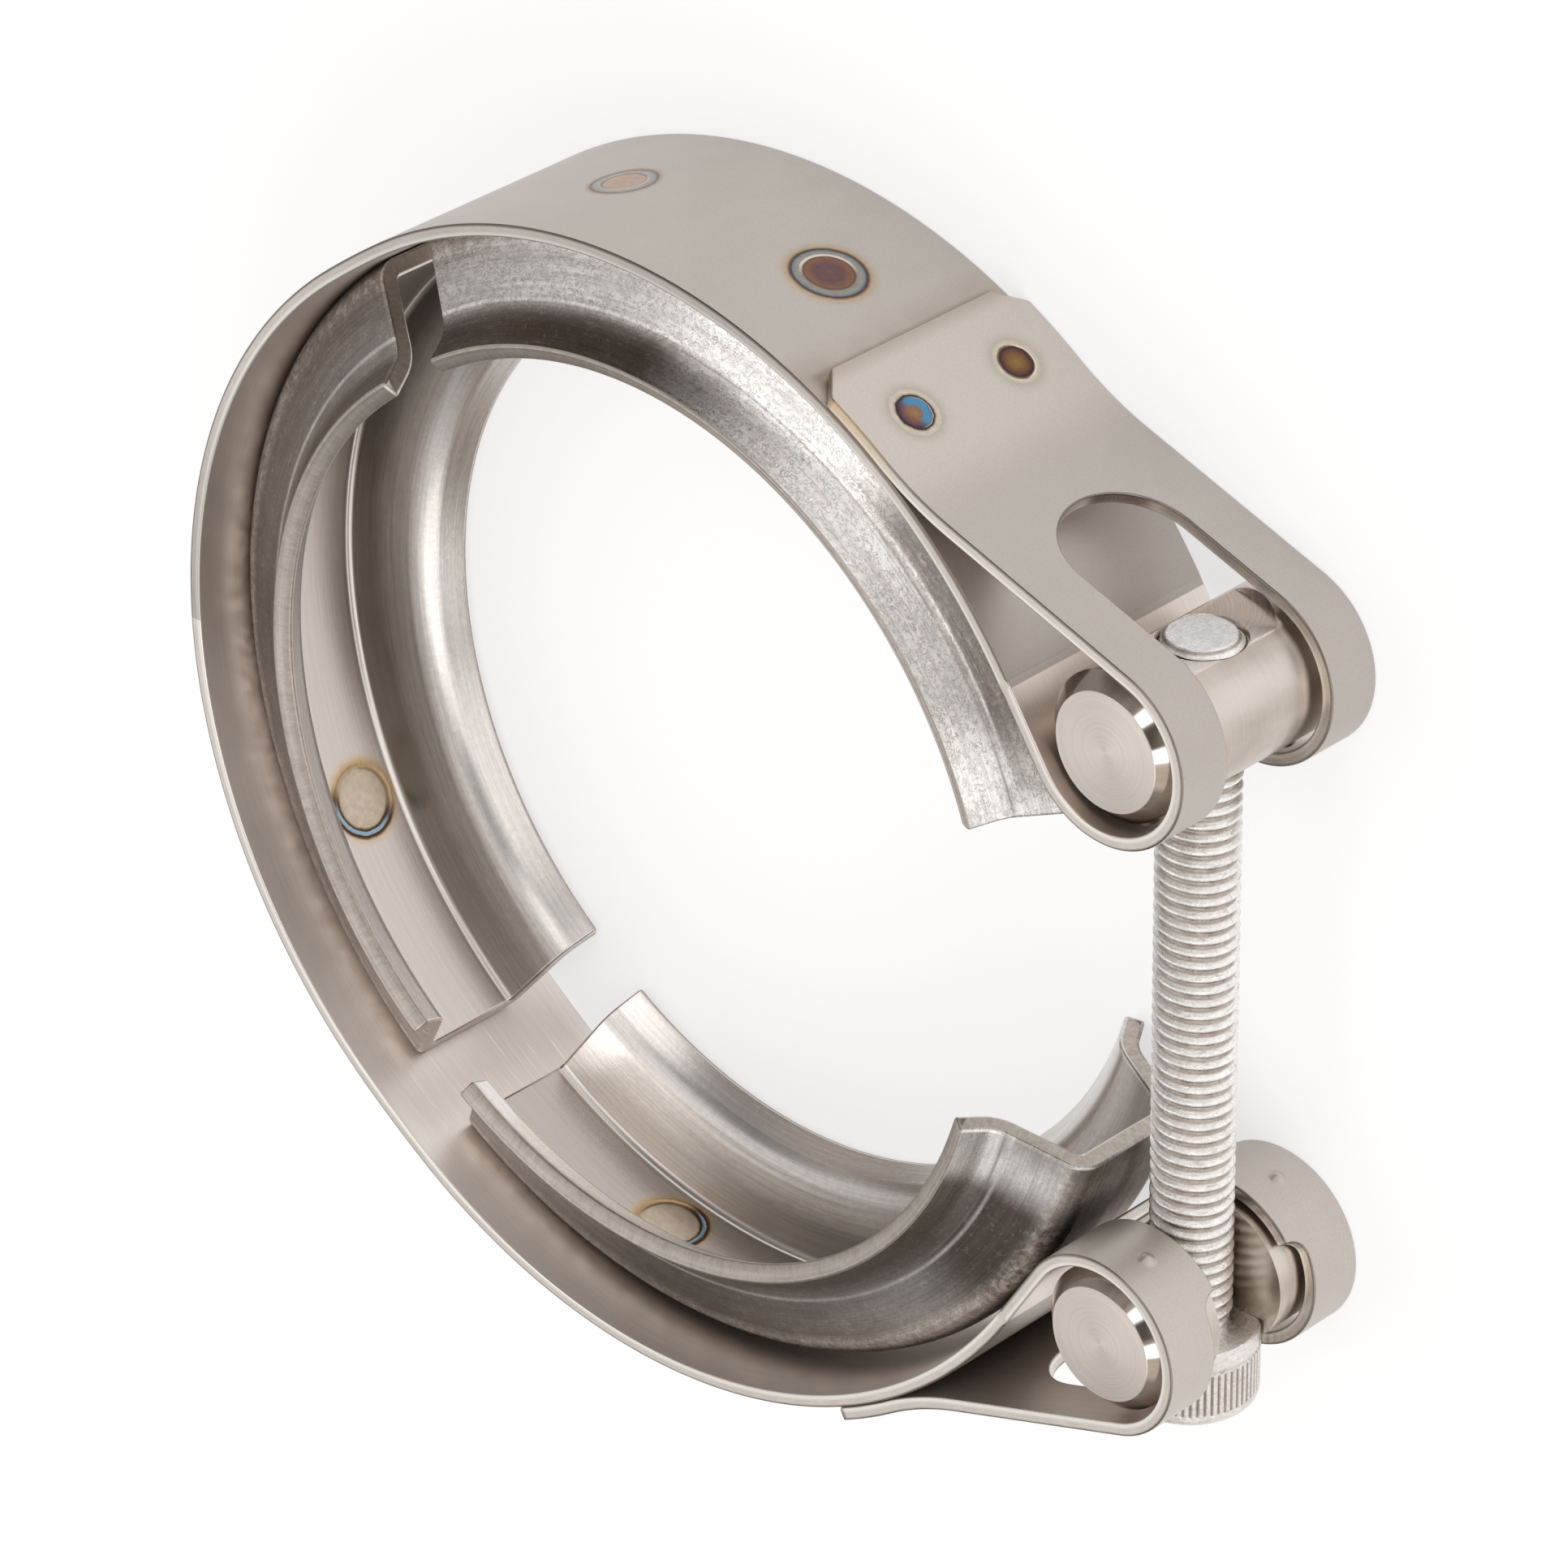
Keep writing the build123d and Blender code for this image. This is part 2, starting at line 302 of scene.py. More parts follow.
def inside(poly, pts):
    """Which points lie inside a closed polygon."""
    x, y = pts[:, 0], pts[:, 1]
    hit = np.zeros(len(pts), bool)
    for (x1, y1), (x2, y2) in zip(poly, np.roll(poly, -1, 0)):
        if y1 != y2:
            hit ^= ((y1 > y) != (y2 > y)) & (x < (x2 - x1) * (y - y1) / (y2 - y1) + x1)
    return hit


def slot_path(jog):
    """Closed outline of a loop's slot in flat coordinates, wound so the metal is on its left."""
    r = SLOT_W / 2
    w = NARROW_W / 2 if jog else r
    top = arc_points(LOOP_S + SLOT_CORNER, w - SLOT_CORNER, SLOT_CORNER, 180, 90, 7)
    if jog:
        at = LOOP_S + LOOP_R * rad(JOG_ANGLE) - 1.5
        c = r - w - 0.05
        top += [(at, w)] + arc_points(at + c, r - c, c, 180, 90, 9)
    top += arc_points(LEG_S + SLOT_LEG, 0, r, 90, 0, 24)
    outline = top + [(x, -y) for x, y in reversed(top)][1:]
    return resample(outline + outline[:1], HOLE_STEP)[:-1]


def grid_points():
    """Points over half the strip, closer in the loop and at the bends."""
    w = STRIP_W / 2
    s, pts = 0.0, [(0.0, z) for z in np.linspace(-w + RIM, w - RIM, 24)[1:-1]]
    odd = False
    while True:
        tight = LOOP_S - 1 < s < LEG_S + 1
        s += LOOP_STEP if tight else (LEG_STEP if s > INNER_LEG_S - 1 else RING_STEP)
        odd = not odd
        if s >= STRIP_L:
            return np.array(pts)
        pts += [(s, z) for z in np.arange(-w + 0.5 + (0.5 * ROW_STEP if odd else 0.0), w - 0.4, ROW_STEP)]


def dimple_lift(places):
    """Height of the pressed dimples over the strip's left-hand face."""
    h = np.zeros(len(places))
    for cs, cz in DIMPLES:
        d = np.hypot(places[:, 0] - cs, places[:, 1] - cz) / DIMPLE_R
        h += np.where(d < 1, 0.5 * (1 + np.cos(np.pi * np.clip(d, 0, 1))), 0) * DIMPLE_H
    return h


def strip_face(rims):
    """The flat face of half the strip: its points, triangles and the new numbers of the rims' points."""
    outer, hole = rims[0][-1], rims[1][-1]
    pts = grid_points()
    rim_points = np.vstack([outer[1:-1], hole])[::2]
    clear = np.linalg.norm(pts[:, None] - rim_points, axis=-1).min(1) >= RIM_CLEAR
    keep = clear & ~inside(hole, pts) & inside(outer, pts + np.array([1e-6, 0]))
    pts = pts[keep | (pts[:, 0] == 0)]
    # the dimples get their own close rings of points
    extra = []
    for cs, cz in DIMPLES:
        pts = pts[np.hypot(pts[:, 0] - cs, pts[:, 1] - cz) > DIMPLE_CLEAR]
        for reach in DIMPLE_RINGS:
            n = 16 if reach else 1
            turns = np.arange(n) * math.tau / n
            extra += [(cs + reach * math.cos(t), cz + reach * math.sin(t)) for t in turns]
    edges = []
    first = 0
    for closed, _, _, path in rims:
        edges += [(first + i, first + i + 1) for i in range(len(path) - 1)]
        first += len(path)
        if closed:
            edges.append((first - 1, first - len(path)))
    places = [Vector(v) for v in [*outer, *hole, *pts, *extra]]
    out, _, tris, orig, _, _ = geometry.delaunay_2d_cdt(places, edges, [], 0, 1e-6)
    out, tris = np.array([tuple(v) for v in out]), np.array(tris)
    mid = out[tris].mean(1)
    tris = tris[inside(outer, mid) & ~inside(hole, mid)]
    area = np.cross(out[tris[:, 1]] - out[tris[:, 0]], out[tris[:, 2]] - out[tris[:, 0]])
    tris, area = tris[np.abs(area) > 1e-7], area[np.abs(area) > 1e-7]
    tris[area < 0] = tris[area < 0][:, ::-1]
    return out, tris, {old: new for new, olds in enumerate(orig) for old in olds}


def band_half(name, upper):
    """Half of the band: both faces of the folded strip and its rounded cut edges."""
    sign = 1 if upper else -1
    opening = UPPER_OPENING if upper else LOWER_OPENING
    w, half = STRIP_W / 2, STRIP_T / 2
    outline = [(0, -w), (STRIP_L - TAIL_CORNER, -w), (STRIP_L, -w + TAIL_CORNER)]
    outline += [(STRIP_L, w - TAIL_CORNER), (STRIP_L - TAIL_CORNER, w), (0, w)]
    rims = [
        (False, *inset_path(resample(outline, OUTLINE_STEP), RIM, False)),
        (True, *inset_path(slot_path(jog=not upper), RIM, True)),
    ]
    _, m, _, inner = rims[0]
    m[0], m[-1] = (0, 1), (0, -1)
    inner[0], inner[-1] = (0.0, -w + RIM), (0.0, w - RIM)
    flat, tris, index = strip_face(rims)
    points = []

    def add(places, height, lean, up, side):
        """Points at flat places and a height over the middle line; returns their numbers."""
        pos, tangent = strip_frame(places[:, 0], opening)
        p = pos + left_of(tangent) * np.reshape(height, (-1, 1))
        n = left_of(tangent) * up + tangent * lean[:, :1]
        base = sum(len(row[0]) for row in points)
        verts = np.column_stack([p[:, 0], p[:, 1] * sign, places[:, 1]])
        normals = np.column_stack([n[:, 0], n[:, 1] * sign, lean[:, 1]])
        points.append((verts, normals, places, np.full(len(places), side)))
        return range(base, base + len(places))

    def face(side):
        """One face of the strip, with its dimples."""
        e = 0.02
        slopes = [(dimple_lift(flat + d) - dimple_lift(flat - d)) / (2 * e) for d in ([e, 0], [0, e])]
        return add(flat, side * half - dimple_lift(flat), np.stack(slopes, -1) * side, side, float(side))

    top, low = face(1), face(-1)
    faces = [tuple(top[i] for i in t) for t in tris]
    faces += [tuple(low[i] for i in t[::-1]) for t in tris]
    first = 0
    for closed, m, miter, inner in rims:
        ids = [index[first + i] for i in range(len(inner))]
        first += len(inner)

        def row(phi, up):
            """A row of the rounded edge, turned by phi from the upper or the lower face."""
            places = inner - m * (RIM * math.sin(phi) * miter)[:, None]
            if not closed:
                places[0, 0] = places[-1, 0] = 0.0
            height = up * (half - RIM * (1 - math.cos(phi)))
            return add(places, height, -m * math.sin(phi), up * math.cos(phi), up * rim_side(phi))

        rings = [[top[i] for i in ids]] + [row(phi, 1) for phi in RIM_TURNS]
        rings += [row(phi, -1) for phi in RIM_TURNS[::-1]] + [[low[i] for i in ids]]
        faces += skin(rings, closed, flip=True)
    if upper:
        faces = [f[::-1] for f in faces]
    obj = sheet_object(name, faces, points)
    stand_for(obj, "band")
    # The band's bend across the flex gap is in its shape; these are the gap's ends on the middle line,
    # which nothing reads
    ends, _ = strip_frame([GAP_S, GAP_END_S], opening)
    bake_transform(obj)
    return obj


band_upper = band_half("band_upper_half", True)
band_lower = band_half("band_lower_half", False)

# V segments
SEG_RIM = 0.26
SEG_STEP = 0.75
PROFILE_STEP = 0.8
BEND_STEP = 0.14
END_R = 38.0
SEG_UV_R = 40.0


def fillet_polyline(points, radii, step):
    """A polyline with rounded corners as points and left-hand normals."""
    p = [np.array(q, float) for q in points]
    pts, dirs = [], []

    def straight(a, b):
        for t in np.linspace(0, 1, max(2, int(np.linalg.norm(b - a) / step)) + 1):
            pts.append(a + (b - a) * t)
            dirs.append(normal(b - a))

    here = p[0]
    for before, corner, after, radius in zip(p[:-2], p[1:-1], p[2:], radii):
        d1, d2 = normal(corner - before), normal(after - corner)
        turn = math.acos(np.clip(d1 @ d2, -1, 1))
        side = np.sign(d1[0] * d2[1] - d1[1] * d2[0])
        reach = radius * math.tan(turn / 2)
        straight(here, corner - d1 * reach)
        spoke = left_of(d1) * -side * radius
        centre = corner - d1 * reach - spoke
        steps = max(4, int(turn * radius / BEND_STEP))
        for k in range(1, steps):
            f = math.degrees(side * turn * k / steps)
            pts.append(centre + rotate(spoke, f))
            dirs.append(rotate(d1, f))
        here = corner + d2 * reach
    straight(here, p[-1])
    pts, dirs = np.array(pts), np.array(dirs)
    keep = np.concatenate([[True], np.linalg.norm(np.diff(pts, axis=0), axis=1) > 1e-6])
    return pts[keep], left_of(dirs[keep])


def segment_profile():
    """Closed cross-section of a V segment: points, normals, travel along the sheet and sheet side."""
    legs = [(LIP_R, LIP_Z), (FLARE_R, FLARE_Z), (FLOOR_R, FLOOR_Z)]
    legs += [(r, -z) for r, z in reversed(legs)]
    line, left = fillet_polyline(legs, [FLARE_BEND, FLOOR_BEND, FLOOR_BEND, FLARE_BEND], PROFILE_STEP)
    travel = np.concatenate([[0], np.cumsum(np.linalg.norm(np.diff(line, axis=0), axis=1))])
    travel -= travel[-1] / 2
    start, end = -left_of(left[0]), -left_of(left[-1])
    line[0] += start * SEG_RIM
    line[-1] -= end * SEG_RIM
    front, back = line + left * (SEG_T / 2), line - left * (SEG_T / 2)

    def lip(corner, n, out, at):
        """Rounded cut edge from one face of the sheet to the other."""
        points = []
        for sense, turns in ((1, RIM_TURNS), (-1, RIM_TURNS[::-1])):
            for phi in turns:
                c, s = sense * math.cos(phi), math.sin(phi)
                place = corner + out * (SEG_RIM * s) - n * (SEG_RIM * (sense - c))
                points.append((place, n * c + out * s, at, sense * rim_side(phi)))
            corner = corner - n * SEG_T
        return points

    points = [(p, n, v, 1.0) for p, n, v in zip(front, left, travel)]
    points += lip(front[-1], left[-1], end, travel[-1])
    points += [(p, -n, v, -1.0) for p, n, v in zip(back[::-1], left[::-1], travel[::-1])]
    points += lip(back[0], -left[0], -start, travel[0])
    return len(line), *(np.array(column) for column in zip(*points))


def segment(node, centre, start, sign, body):
    """A V segment as a swept sheet. start is the angle of its first end, sign -1 mirrors it."""
    count, prof, pn, pv, ps = segment_profile()
    n = len(prof)
    end_off = math.degrees(SEG_RIM / END_R)
    angles = np.linspace(start + end_off, start + SEG_ARC - end_off, int(SEG_ARC / SEG_STEP) + 1)
    points = []

    def ring(angle, shape, along, side=ps):
        """One cross-section, its normals leaning along the sweep; returns its point numbers."""
        c, s = unit(angle)
        across = pn * math.sqrt(max(0.0, 1 - along * along))
        x, nx = shape[:, 0], across[:, 0]
        verts = np.column_stack([centre[0] + x * c, (centre[1] + x * s) * sign, shape[:, 1]])
        normals = np.column_stack([nx * c - along * s, (nx * s + along * c) * sign, across[:, 1]])
        uv = np.column_stack([np.full(n, rad(angle - start) * SEG_UV_R), pv])
        points.append((verts, normals, uv, side))
        return range((len(points) - 1) * n, len(points) * n)

    def end_rings(at, direction):
        """Rounded edge of an end face, from the sweep outward."""
        rows = []
        for phi in RIM_TURNS:
            lean = direction * math.sin(phi)
            rows.append(ring(at + lean * end_off, prof - pn * SEG_RIM * (1 - math.cos(phi)), lean))
        return rows

    def end_face(at, direction):
        """Flat end face between the two sides of the sheet, on points of its own."""
        own = ring(at + direction * end_off, prof - pn * SEG_RIM, direction, EDGE_SIDE * np.sign(ps))
        lips = 2 * RIM_STEPS
        back = 2 * count + lips
        out = [(own[i], own[i + 1], own[back - 2 - i], own[back - 1 - i]) for i in range(count - 1)]
        out.append(tuple(own[count - 1 : count + lips + 1]))
        out.append((*own[back - 1 :], own[0]))
        return [f[::-1] for f in out] if direction < 0 else out

    first = end_rings(angles[0], -1)[::-1]
    sweep = [ring(a, prof, 0.0) for a in angles]
    faces = skin(first + sweep + end_rings(angles[-1], 1))
    faces += end_face(angles[0], -1) + end_face(angles[-1], 1)
    if sign < 0:
        faces = [f[::-1] for f in faces]
    obj = sheet_object(node + "_sheet", faces, points)
    stand_for(obj, node, body)
    return obj


first_angle = 180 - SEG_HALF - GAP_ANGLE - SEG_ARC
upper_centre = open_arm([0.0, 0.0], UPPER_OPENING)
weld = (RING_R - STRIP_T / 2 - WELD_GAP) * unit(first_angle + SEG_ARC)
lower_centre = open_arm(weld - rotate(weld, -LOWER_TILT), LOWER_OPENING)
upper_start = first_angle + UPPER_OPENING
lower_start = first_angle + LOWER_OPENING - LOWER_TILT
seg_middle = segment("segment_middle", (0.0, 0.0), 180 - SEG_HALF, 1, "middle")
seg_upper = segment("segment_upper", upper_centre, upper_start, 1, "upper_arm")
seg_lower = segment("segment_lower", lower_centre, lower_start, -1, "lower_arm")

# Trunnions
BAR_STEPS = 128
DRILL_STEPS = 64
PAST = 10
HOLE_CLEAR = 0.04
SLOT_CLEAR = 0.2
HEAD_CLEAR = 0.15
SOFT_EDGE = 0.1


def tidy_mesh(mesh, doubles=False):
    """Turns the faces of a closed mesh outward, after merging its doubled points if asked."""
    b = bmesh.new()
    b.from_mesh(mesh)
    if doubles:
        bmesh.ops.remove_doubles(b, verts=b.verts, dist=1e-7)
        bmesh.ops.dissolve_degenerate(b, edges=b.edges, dist=1e-8)
    bmesh.ops.recalc_face_normals(b, faces=b.faces)
    b.to_mesh(mesh)
    b.free()


def solid(name, v, faces):
    mesh = new_mesh(name, v, faces)
    mesh.update()
    tidy_mesh(mesh)
    return link(mesh)


def lathe(name, profile, origin, steps, upright=False):
    """A closed body turned from (radius, height) points that start and end on its axis."""
    rings, verts = [], []
    for r, h in profile:
        count = steps if r else 1
        t = np.arange(count) * math.tau / count
        rings.append(range(len(verts), len(verts) + count))
        verts += [(r * math.cos(x), r * math.sin(x), h) for x in t]
    start, end = rings[1], rings[-2]
    faces = [(0, start[(i + 1) % steps], start[i]) for i in range(steps)]
    faces += skin(rings[1:-1])
    faces += [(end[i], end[(i + 1) % steps], len(verts) - 1) for i in range(steps)]
    v = np.array(verts)
    if upright:
        v = np.column_stack([v[:, 0], v[:, 2], -v[:, 1]])
    return solid(name, v + np.asarray(origin), faces)


def drill(x, y0, y1, r0, r1):
    """A round or conical cutter along the bolt's direction."""
    return lathe("drill", [(0, y0), (r0, y0), (r1, y1), (0, y1)], (x, 0, 0), DRILL_STEPS, upright=True)


def slab(lo, hi):
    """A box cutter."""
    v = np.array([(x, y, z) for x in (lo[0], hi[0]) for y in (lo[1], hi[1]) for z in (lo[2], hi[2])], float)
    faces = [(0, 1, 3, 2), (4, 6, 7, 5), (0, 4, 5, 1), (2, 3, 7, 6), (0, 2, 6, 4), (1, 5, 7, 3)]
    return solid("slab", v, faces)


def modify(obj, kind, **settings):
    mod = obj.modifiers.new(kind.lower(), kind)
    for key, value in settings.items():
        setattr(mod, key, value)


def trunnion(node, body, y, cutters):
    """A chamfered bar across the band, with the cutters taken out and its edges softened."""
    h, c = BAR_L / 2, BAR_R - BAR_CHAMFER
    profile = [(0, -h), (c, -h), (BAR_R, -h + BAR_CHAMFER), (BAR_R, h - BAR_CHAMFER), (c, h), (0, h)]
    bar = lathe(node + "_bar", profile, (bx, y, 0), BAR_STEPS)
    for cutter in cutters:
        modify(bar, "BOOLEAN", operation="DIFFERENCE", solver="EXACT", object=cutter)
    modify(bar, "BEVEL", width=SOFT_EDGE * MM, segments=3, limit_method="ANGLE", angle_limit=rad(25))
    mesh = bpy.data.meshes.new_from_object(bar.evaluated_get(bpy.context.evaluated_depsgraph_get()))
    bar.modifiers.clear()
    bar.data = mesh
    for cutter in cutters:
        bpy.data.objects.remove(cutter)
    mesh.shade_smooth()
    mesh.set_sharp_from_angle(angle=rad(32))
    stand_for(bar, node, body)
    return bar


bx = (UPPER_LOOP[0] + LOWER_LOOP[0]) / 2
upper_y, lower_y = UPPER_LOOP[1], -LOWER_LOOP[1]
flat_y = upper_y + FLAT_HEIGHT
seat = lower_y - SEAT_DEPTH
hole_r = SHANK_R + HOLE_CLEAR
slot_r = SHANK_R + SLOT_CLEAR
upper_cutters = [
    drill(bx, upper_y - PAST, upper_y + PAST, hole_r, hole_r),
    drill(bx - FLAT_OFFSET, flat_y, upper_y + PAST, FLAT_CUTTER, FLAT_CUTTER),
    drill(bx, flat_y - COUNTERSINK, flat_y + 0.1, hole_r, hole_r + 0.3),
]
upper_bar = trunnion("upper_trunnion", "upper_pivot", upper_y, upper_cutters)
lower_cutters = [
    drill(bx, lower_y - PAST, lower_y + PAST, slot_r, slot_r),
    slab((bx, lower_y - PAST, -slot_r), (bx + PAST, lower_y + PAST, slot_r)),
    drill(bx, lower_y - PAST, seat + 0.02, HEAD_R + HEAD_CLEAR, HEAD_R + HEAD_CLEAR),
]
lower_bar = trunnion("lower_trunnion", "lower_pivot", lower_y, lower_cutters)

# Bolt
PITCH = 1.0
THREAD_DEPTH = 0.42
ROWS_PER_TURN = 12
SHANK_STEPS = 72
HEAD_STEPS = 360
KNURLS = 60
TIP_R = 2.42
COLLAR_R = 4.97
END_ROUND = 0.7
tip_y = seat + SHANK_L
bottom = seat - HEAD_H
thread_root = SHANK_R - THREAD_DEPTH


def thread_radius(t, y):
    """The shank's radius: blunt crests, a run-out below the head and a chamfered tip."""
    phase = np.mod((y - seat) / PITCH - t / math.tau, 1.0)
    shape = np.clip((np.abs(phase - 0.5) * 2 - 0.16) / 0.66, 0, 1)
    shape = shape * shape * (3 - 2 * shape) * 0.35 + shape * 0.65
    r = SHANK_R - 0.02 - THREAD_DEPTH * shape
    start = thread_root + 0.12
    r = start + (r - start) * np.clip((y - seat - 0.3) / 0.9, 0, 1)
    return np.minimum(r, TIP_R + np.clip(tip_y - y, 0, 9))


def knurled(t, y, r):
    """The head's radius r with the knurl's grooves taken out where the knurl runs."""
    k = np.clip((seat - 1.55 - y) / 0.25, 0, 1) * np.clip((y - bottom - 0.75) / 0.3, 0, 1)
    return r - 0.13 * k * (1 - np.abs(np.sin(t * KNURLS / 2))) ** 0.8


def clamp_bolt():
    rows = []

    def ring(t, r, y):
        """A ring of points round the bolt; returns their numbers."""
        base = sum(len(row) for row in rows)
        rows.append(np.column_stack([bx + r * np.cos(t), np.broadcast_to(y, t.shape), r * np.sin(t)]))
        return range(base, base + len(t))

    def fan(around, y):
        """Triangles from a ring to a point on the axis."""
        middle = ring(np.zeros(1), 0.0, y)[0]
        return [(around[i], middle, around[(i + 1) % len(around)]) for i in range(len(around))]

    t = np.arange(SHANK_STEPS + 1) * math.tau / SHANK_STEPS
    turns = []
    for k in range(-ROWS_PER_TURN, int((SHANK_L + PITCH) * ROWS_PER_TURN / PITCH) + 1):
        y = np.clip(seat + k * PITCH / ROWS_PER_TURN + PITCH * t / math.tau, seat, tip_y)
        turns.append(ring(t, thread_radius(t, y), y))
    faces = skin(turns, closed=False, flip=True)
    tip = [ring(t[:-1], r, tip_y) for r in (TIP_R, 2.3, 1.2)]
    faces += skin(tip, flip=True) + fan(tip[-1], tip_y)
    # head: underside, collar, knurl, rounded end, socket
    outline = [(2.6, seat), (4.75, seat), (4.9, seat - 0.05)]
    outline += [(COLLAR_R, seat - y) for y in (0.2, 1.2, 1.45)]
    outline += [(4.9, seat - 1.52), (4.9, seat - 1.6), (HEAD_R, seat - 1.68)]
    outline += [(HEAD_R, y) for y in np.linspace(seat - 1.8, bottom + 1.05, 6)]
    outline += [(HEAD_R, bottom + 0.9), (HEAD_R, bottom + 0.75)]
    for a in (15, 30, 50, 70, 90):
        along, down = END_ROUND * unit(a)
        outline.append((HEAD_R - END_ROUND + along, bottom + END_ROUND - down))
    outline += [(3.15, bottom), (3.0, bottom + 0.05)]
    t = np.arange(HEAD_STEPS) * math.tau / HEAD_STEPS
    head = [ring(t, knurled(t, y, r), y) for r, y in outline]
    hexagon = np.minimum(SOCKET / 2 / np.cos(np.mod(t, math.tau / 6) - math.tau / 12), 2.95)
    head += [ring(t, hexagon, bottom + y) for y in (0.25, SOCKET_DEPTH)]
    faces += skin(head, flip=True) + fan(head[-1], bottom + SOCKET_DEPTH + 0.5)
    mesh = new_mesh("clamp_bolt_body", np.vstack(rows), faces)
    tidy_mesh(mesh, doubles=True)
    mesh.shade_smooth()
    mesh.set_sharp_from_angle(angle=rad(48))
    obj = link(mesh)
    stand_for(obj, "clamp_bolt", "bolt")
    return obj


bolt = clamp_bolt()

# Colours of the metals
BLASTED = (0.535, 0.492, 0.455)
BLASTED_DARK = (0.48, 0.438, 0.402)
TAIL_TONE = (0.615, 0.56, 0.512)
TAIL_BROWN_SHADE = (0.36, 0.275, 0.195)
CUT_EDGE = (0.64, 0.59, 0.545)
# Painted shade and a painted highlight, for the rounded edges and beside them
PAINTED_SHADE_DARK = (0.2, 0.168, 0.14)
PAINTED_EDGE_HIGHLIGHT = (0.9, 0.87, 0.83)
SCORCH = (0.6, 0.44, 0.22)
BAND_INSIDE = (0.9, 0.815, 0.75)
BAND_GAP = (0.69, 0.622, 0.57)
BAND_EDGE_PAINTED_LIGHT = (0.97, 0.88, 0.815)
DRAWN_PALE = (0.68, 0.62, 0.575)
DRAWN_BRIGHT = (0.95, 0.905, 0.865)
DRAWN_DARK = (0.27, 0.23, 0.2)
DRAWN_BLACK = (0.12, 0.096, 0.08)
DRAWN_MID = (0.5, 0.45, 0.41)
DRAWN_WHITE = (0.97, 0.94, 0.915)
END_FACE = (0.58, 0.515, 0.46)
END_FACE_DARK = (0.36, 0.315, 0.275)
TURNED = (0.66, 0.6, 0.555)
TURNED_DARK = (0.55, 0.495, 0.45)
CHAMFER = (0.24, 0.195, 0.16)
PAINTED_REFLECTION = (0.99, 0.985, 0.975)
BARREL = (0.47, 0.405, 0.35)
BARREL_PALE = (0.6, 0.535, 0.48)
ZINC = (0.99, 0.975, 0.955)
ZINC_SMEAR = (0.88, 0.83, 0.785)
ZINC_MARK_AND_SHADE = (0.3, 0.245, 0.205)
ZINC_TIP = (0.6, 0.625, 0.66)
WELD_PAINTED_HIGHLIGHT = (0.93, 0.85, 0.77)
WELD_SCORCH = (0.085, 0.045, 0.026)
WELD_BLUE = (0.3, 0.43, 0.52)
BEAD_BLUE = (0.1, 0.27, 0.43)
FLOOR_WHITE = (0.48, 0.48, 0.48)
FLOOR_GLOW = 0.62

# Rings of heat tint round a spot weld: place in radii, red, green, blue, and cover where it is below 1
PALE_WELD = [
    (0.0, 0.47, 0.365, 0.295), (0.6, 0.5, 0.385, 0.305),
    (0.66, 0.26, 0.2, 0.165), (0.71, 0.45, 0.42, 0.385),
    (0.9, 0.35, 0.35, 0.345), (0.97, 0.19, 0.155, 0.145),
    (1.02, 0.36, 0.25, 0.17, 0.8), (1.22, 0.52, 0.45, 0.38, 0.0),
]
BROWN_WELD = [
    (0.0, 0.185, 0.105, 0.085), (0.35, 0.155, 0.085, 0.095),
    (0.62, 0.25, 0.125, 0.075), (0.68, 0.15, 0.09, 0.065),
    (0.72, 0.3, 0.265, 0.225), (0.86, 0.32, 0.3, 0.265),
    (0.93, 0.2, 0.25, 0.27), (0.985, 0.07, 0.06, 0.085),
    (1.03, 0.2, 0.1, 0.045), (1.1, 0.45, 0.33, 0.215, 0.75),
    (1.4, 0.54, 0.47, 0.39, 0.0),
]
BLUE_BEAD = [
    (0.0, 0.33, 0.205, 0.115), (0.45, 0.27, 0.135, 0.08),
    (0.75, 0.15, 0.08, 0.11), (0.95, 0.07, 0.045, 0.06),
    (1.02, 0.04, 0.03, 0.03), (1.08, 0.33, 0.25, 0.17),
    (1.16, 0.6, 0.535, 0.455, 0.9), (1.36, 0.58, 0.52, 0.44, 0.8),
    (1.45, 0.38, 0.33, 0.25, 0.5), (1.75, 0.5, 0.45, 0.38, 0.3),
    (2.2, 0.55, 0.5, 0.44, 0.0),
]
BROWN_BEAD = [
    (0.0, 0.3, 0.175, 0.07), (0.45, 0.235, 0.13, 0.055),
    (0.8, 0.13, 0.065, 0.05), (0.95, 0.055, 0.03, 0.045),
    (1.08, 0.3, 0.22, 0.15), (1.16, 0.66, 0.59, 0.49, 0.9),
    (1.34, 0.56, 0.5, 0.41, 0.7), (1.44, 0.4, 0.35, 0.27, 0.45),
    (1.75, 0.5, 0.45, 0.38, 0.3), (2.1, 0.55, 0.5, 0.44, 0.0),
]
FLOOR_WELD = [
    (0.0, 0.58, 0.495, 0.405, 0.95), (0.7, 0.56, 0.465, 0.36, 0.95),
    (0.86, 0.52, 0.43, 0.31), (0.93, 0.4, 0.3, 0.19, 0.9),
    (1.03, 0.46, 0.28, 0.12, 0.9), (1.18, 0.6, 0.42, 0.22, 0.7),
    (1.42, 0.64, 0.56, 0.46, 0.0),
]

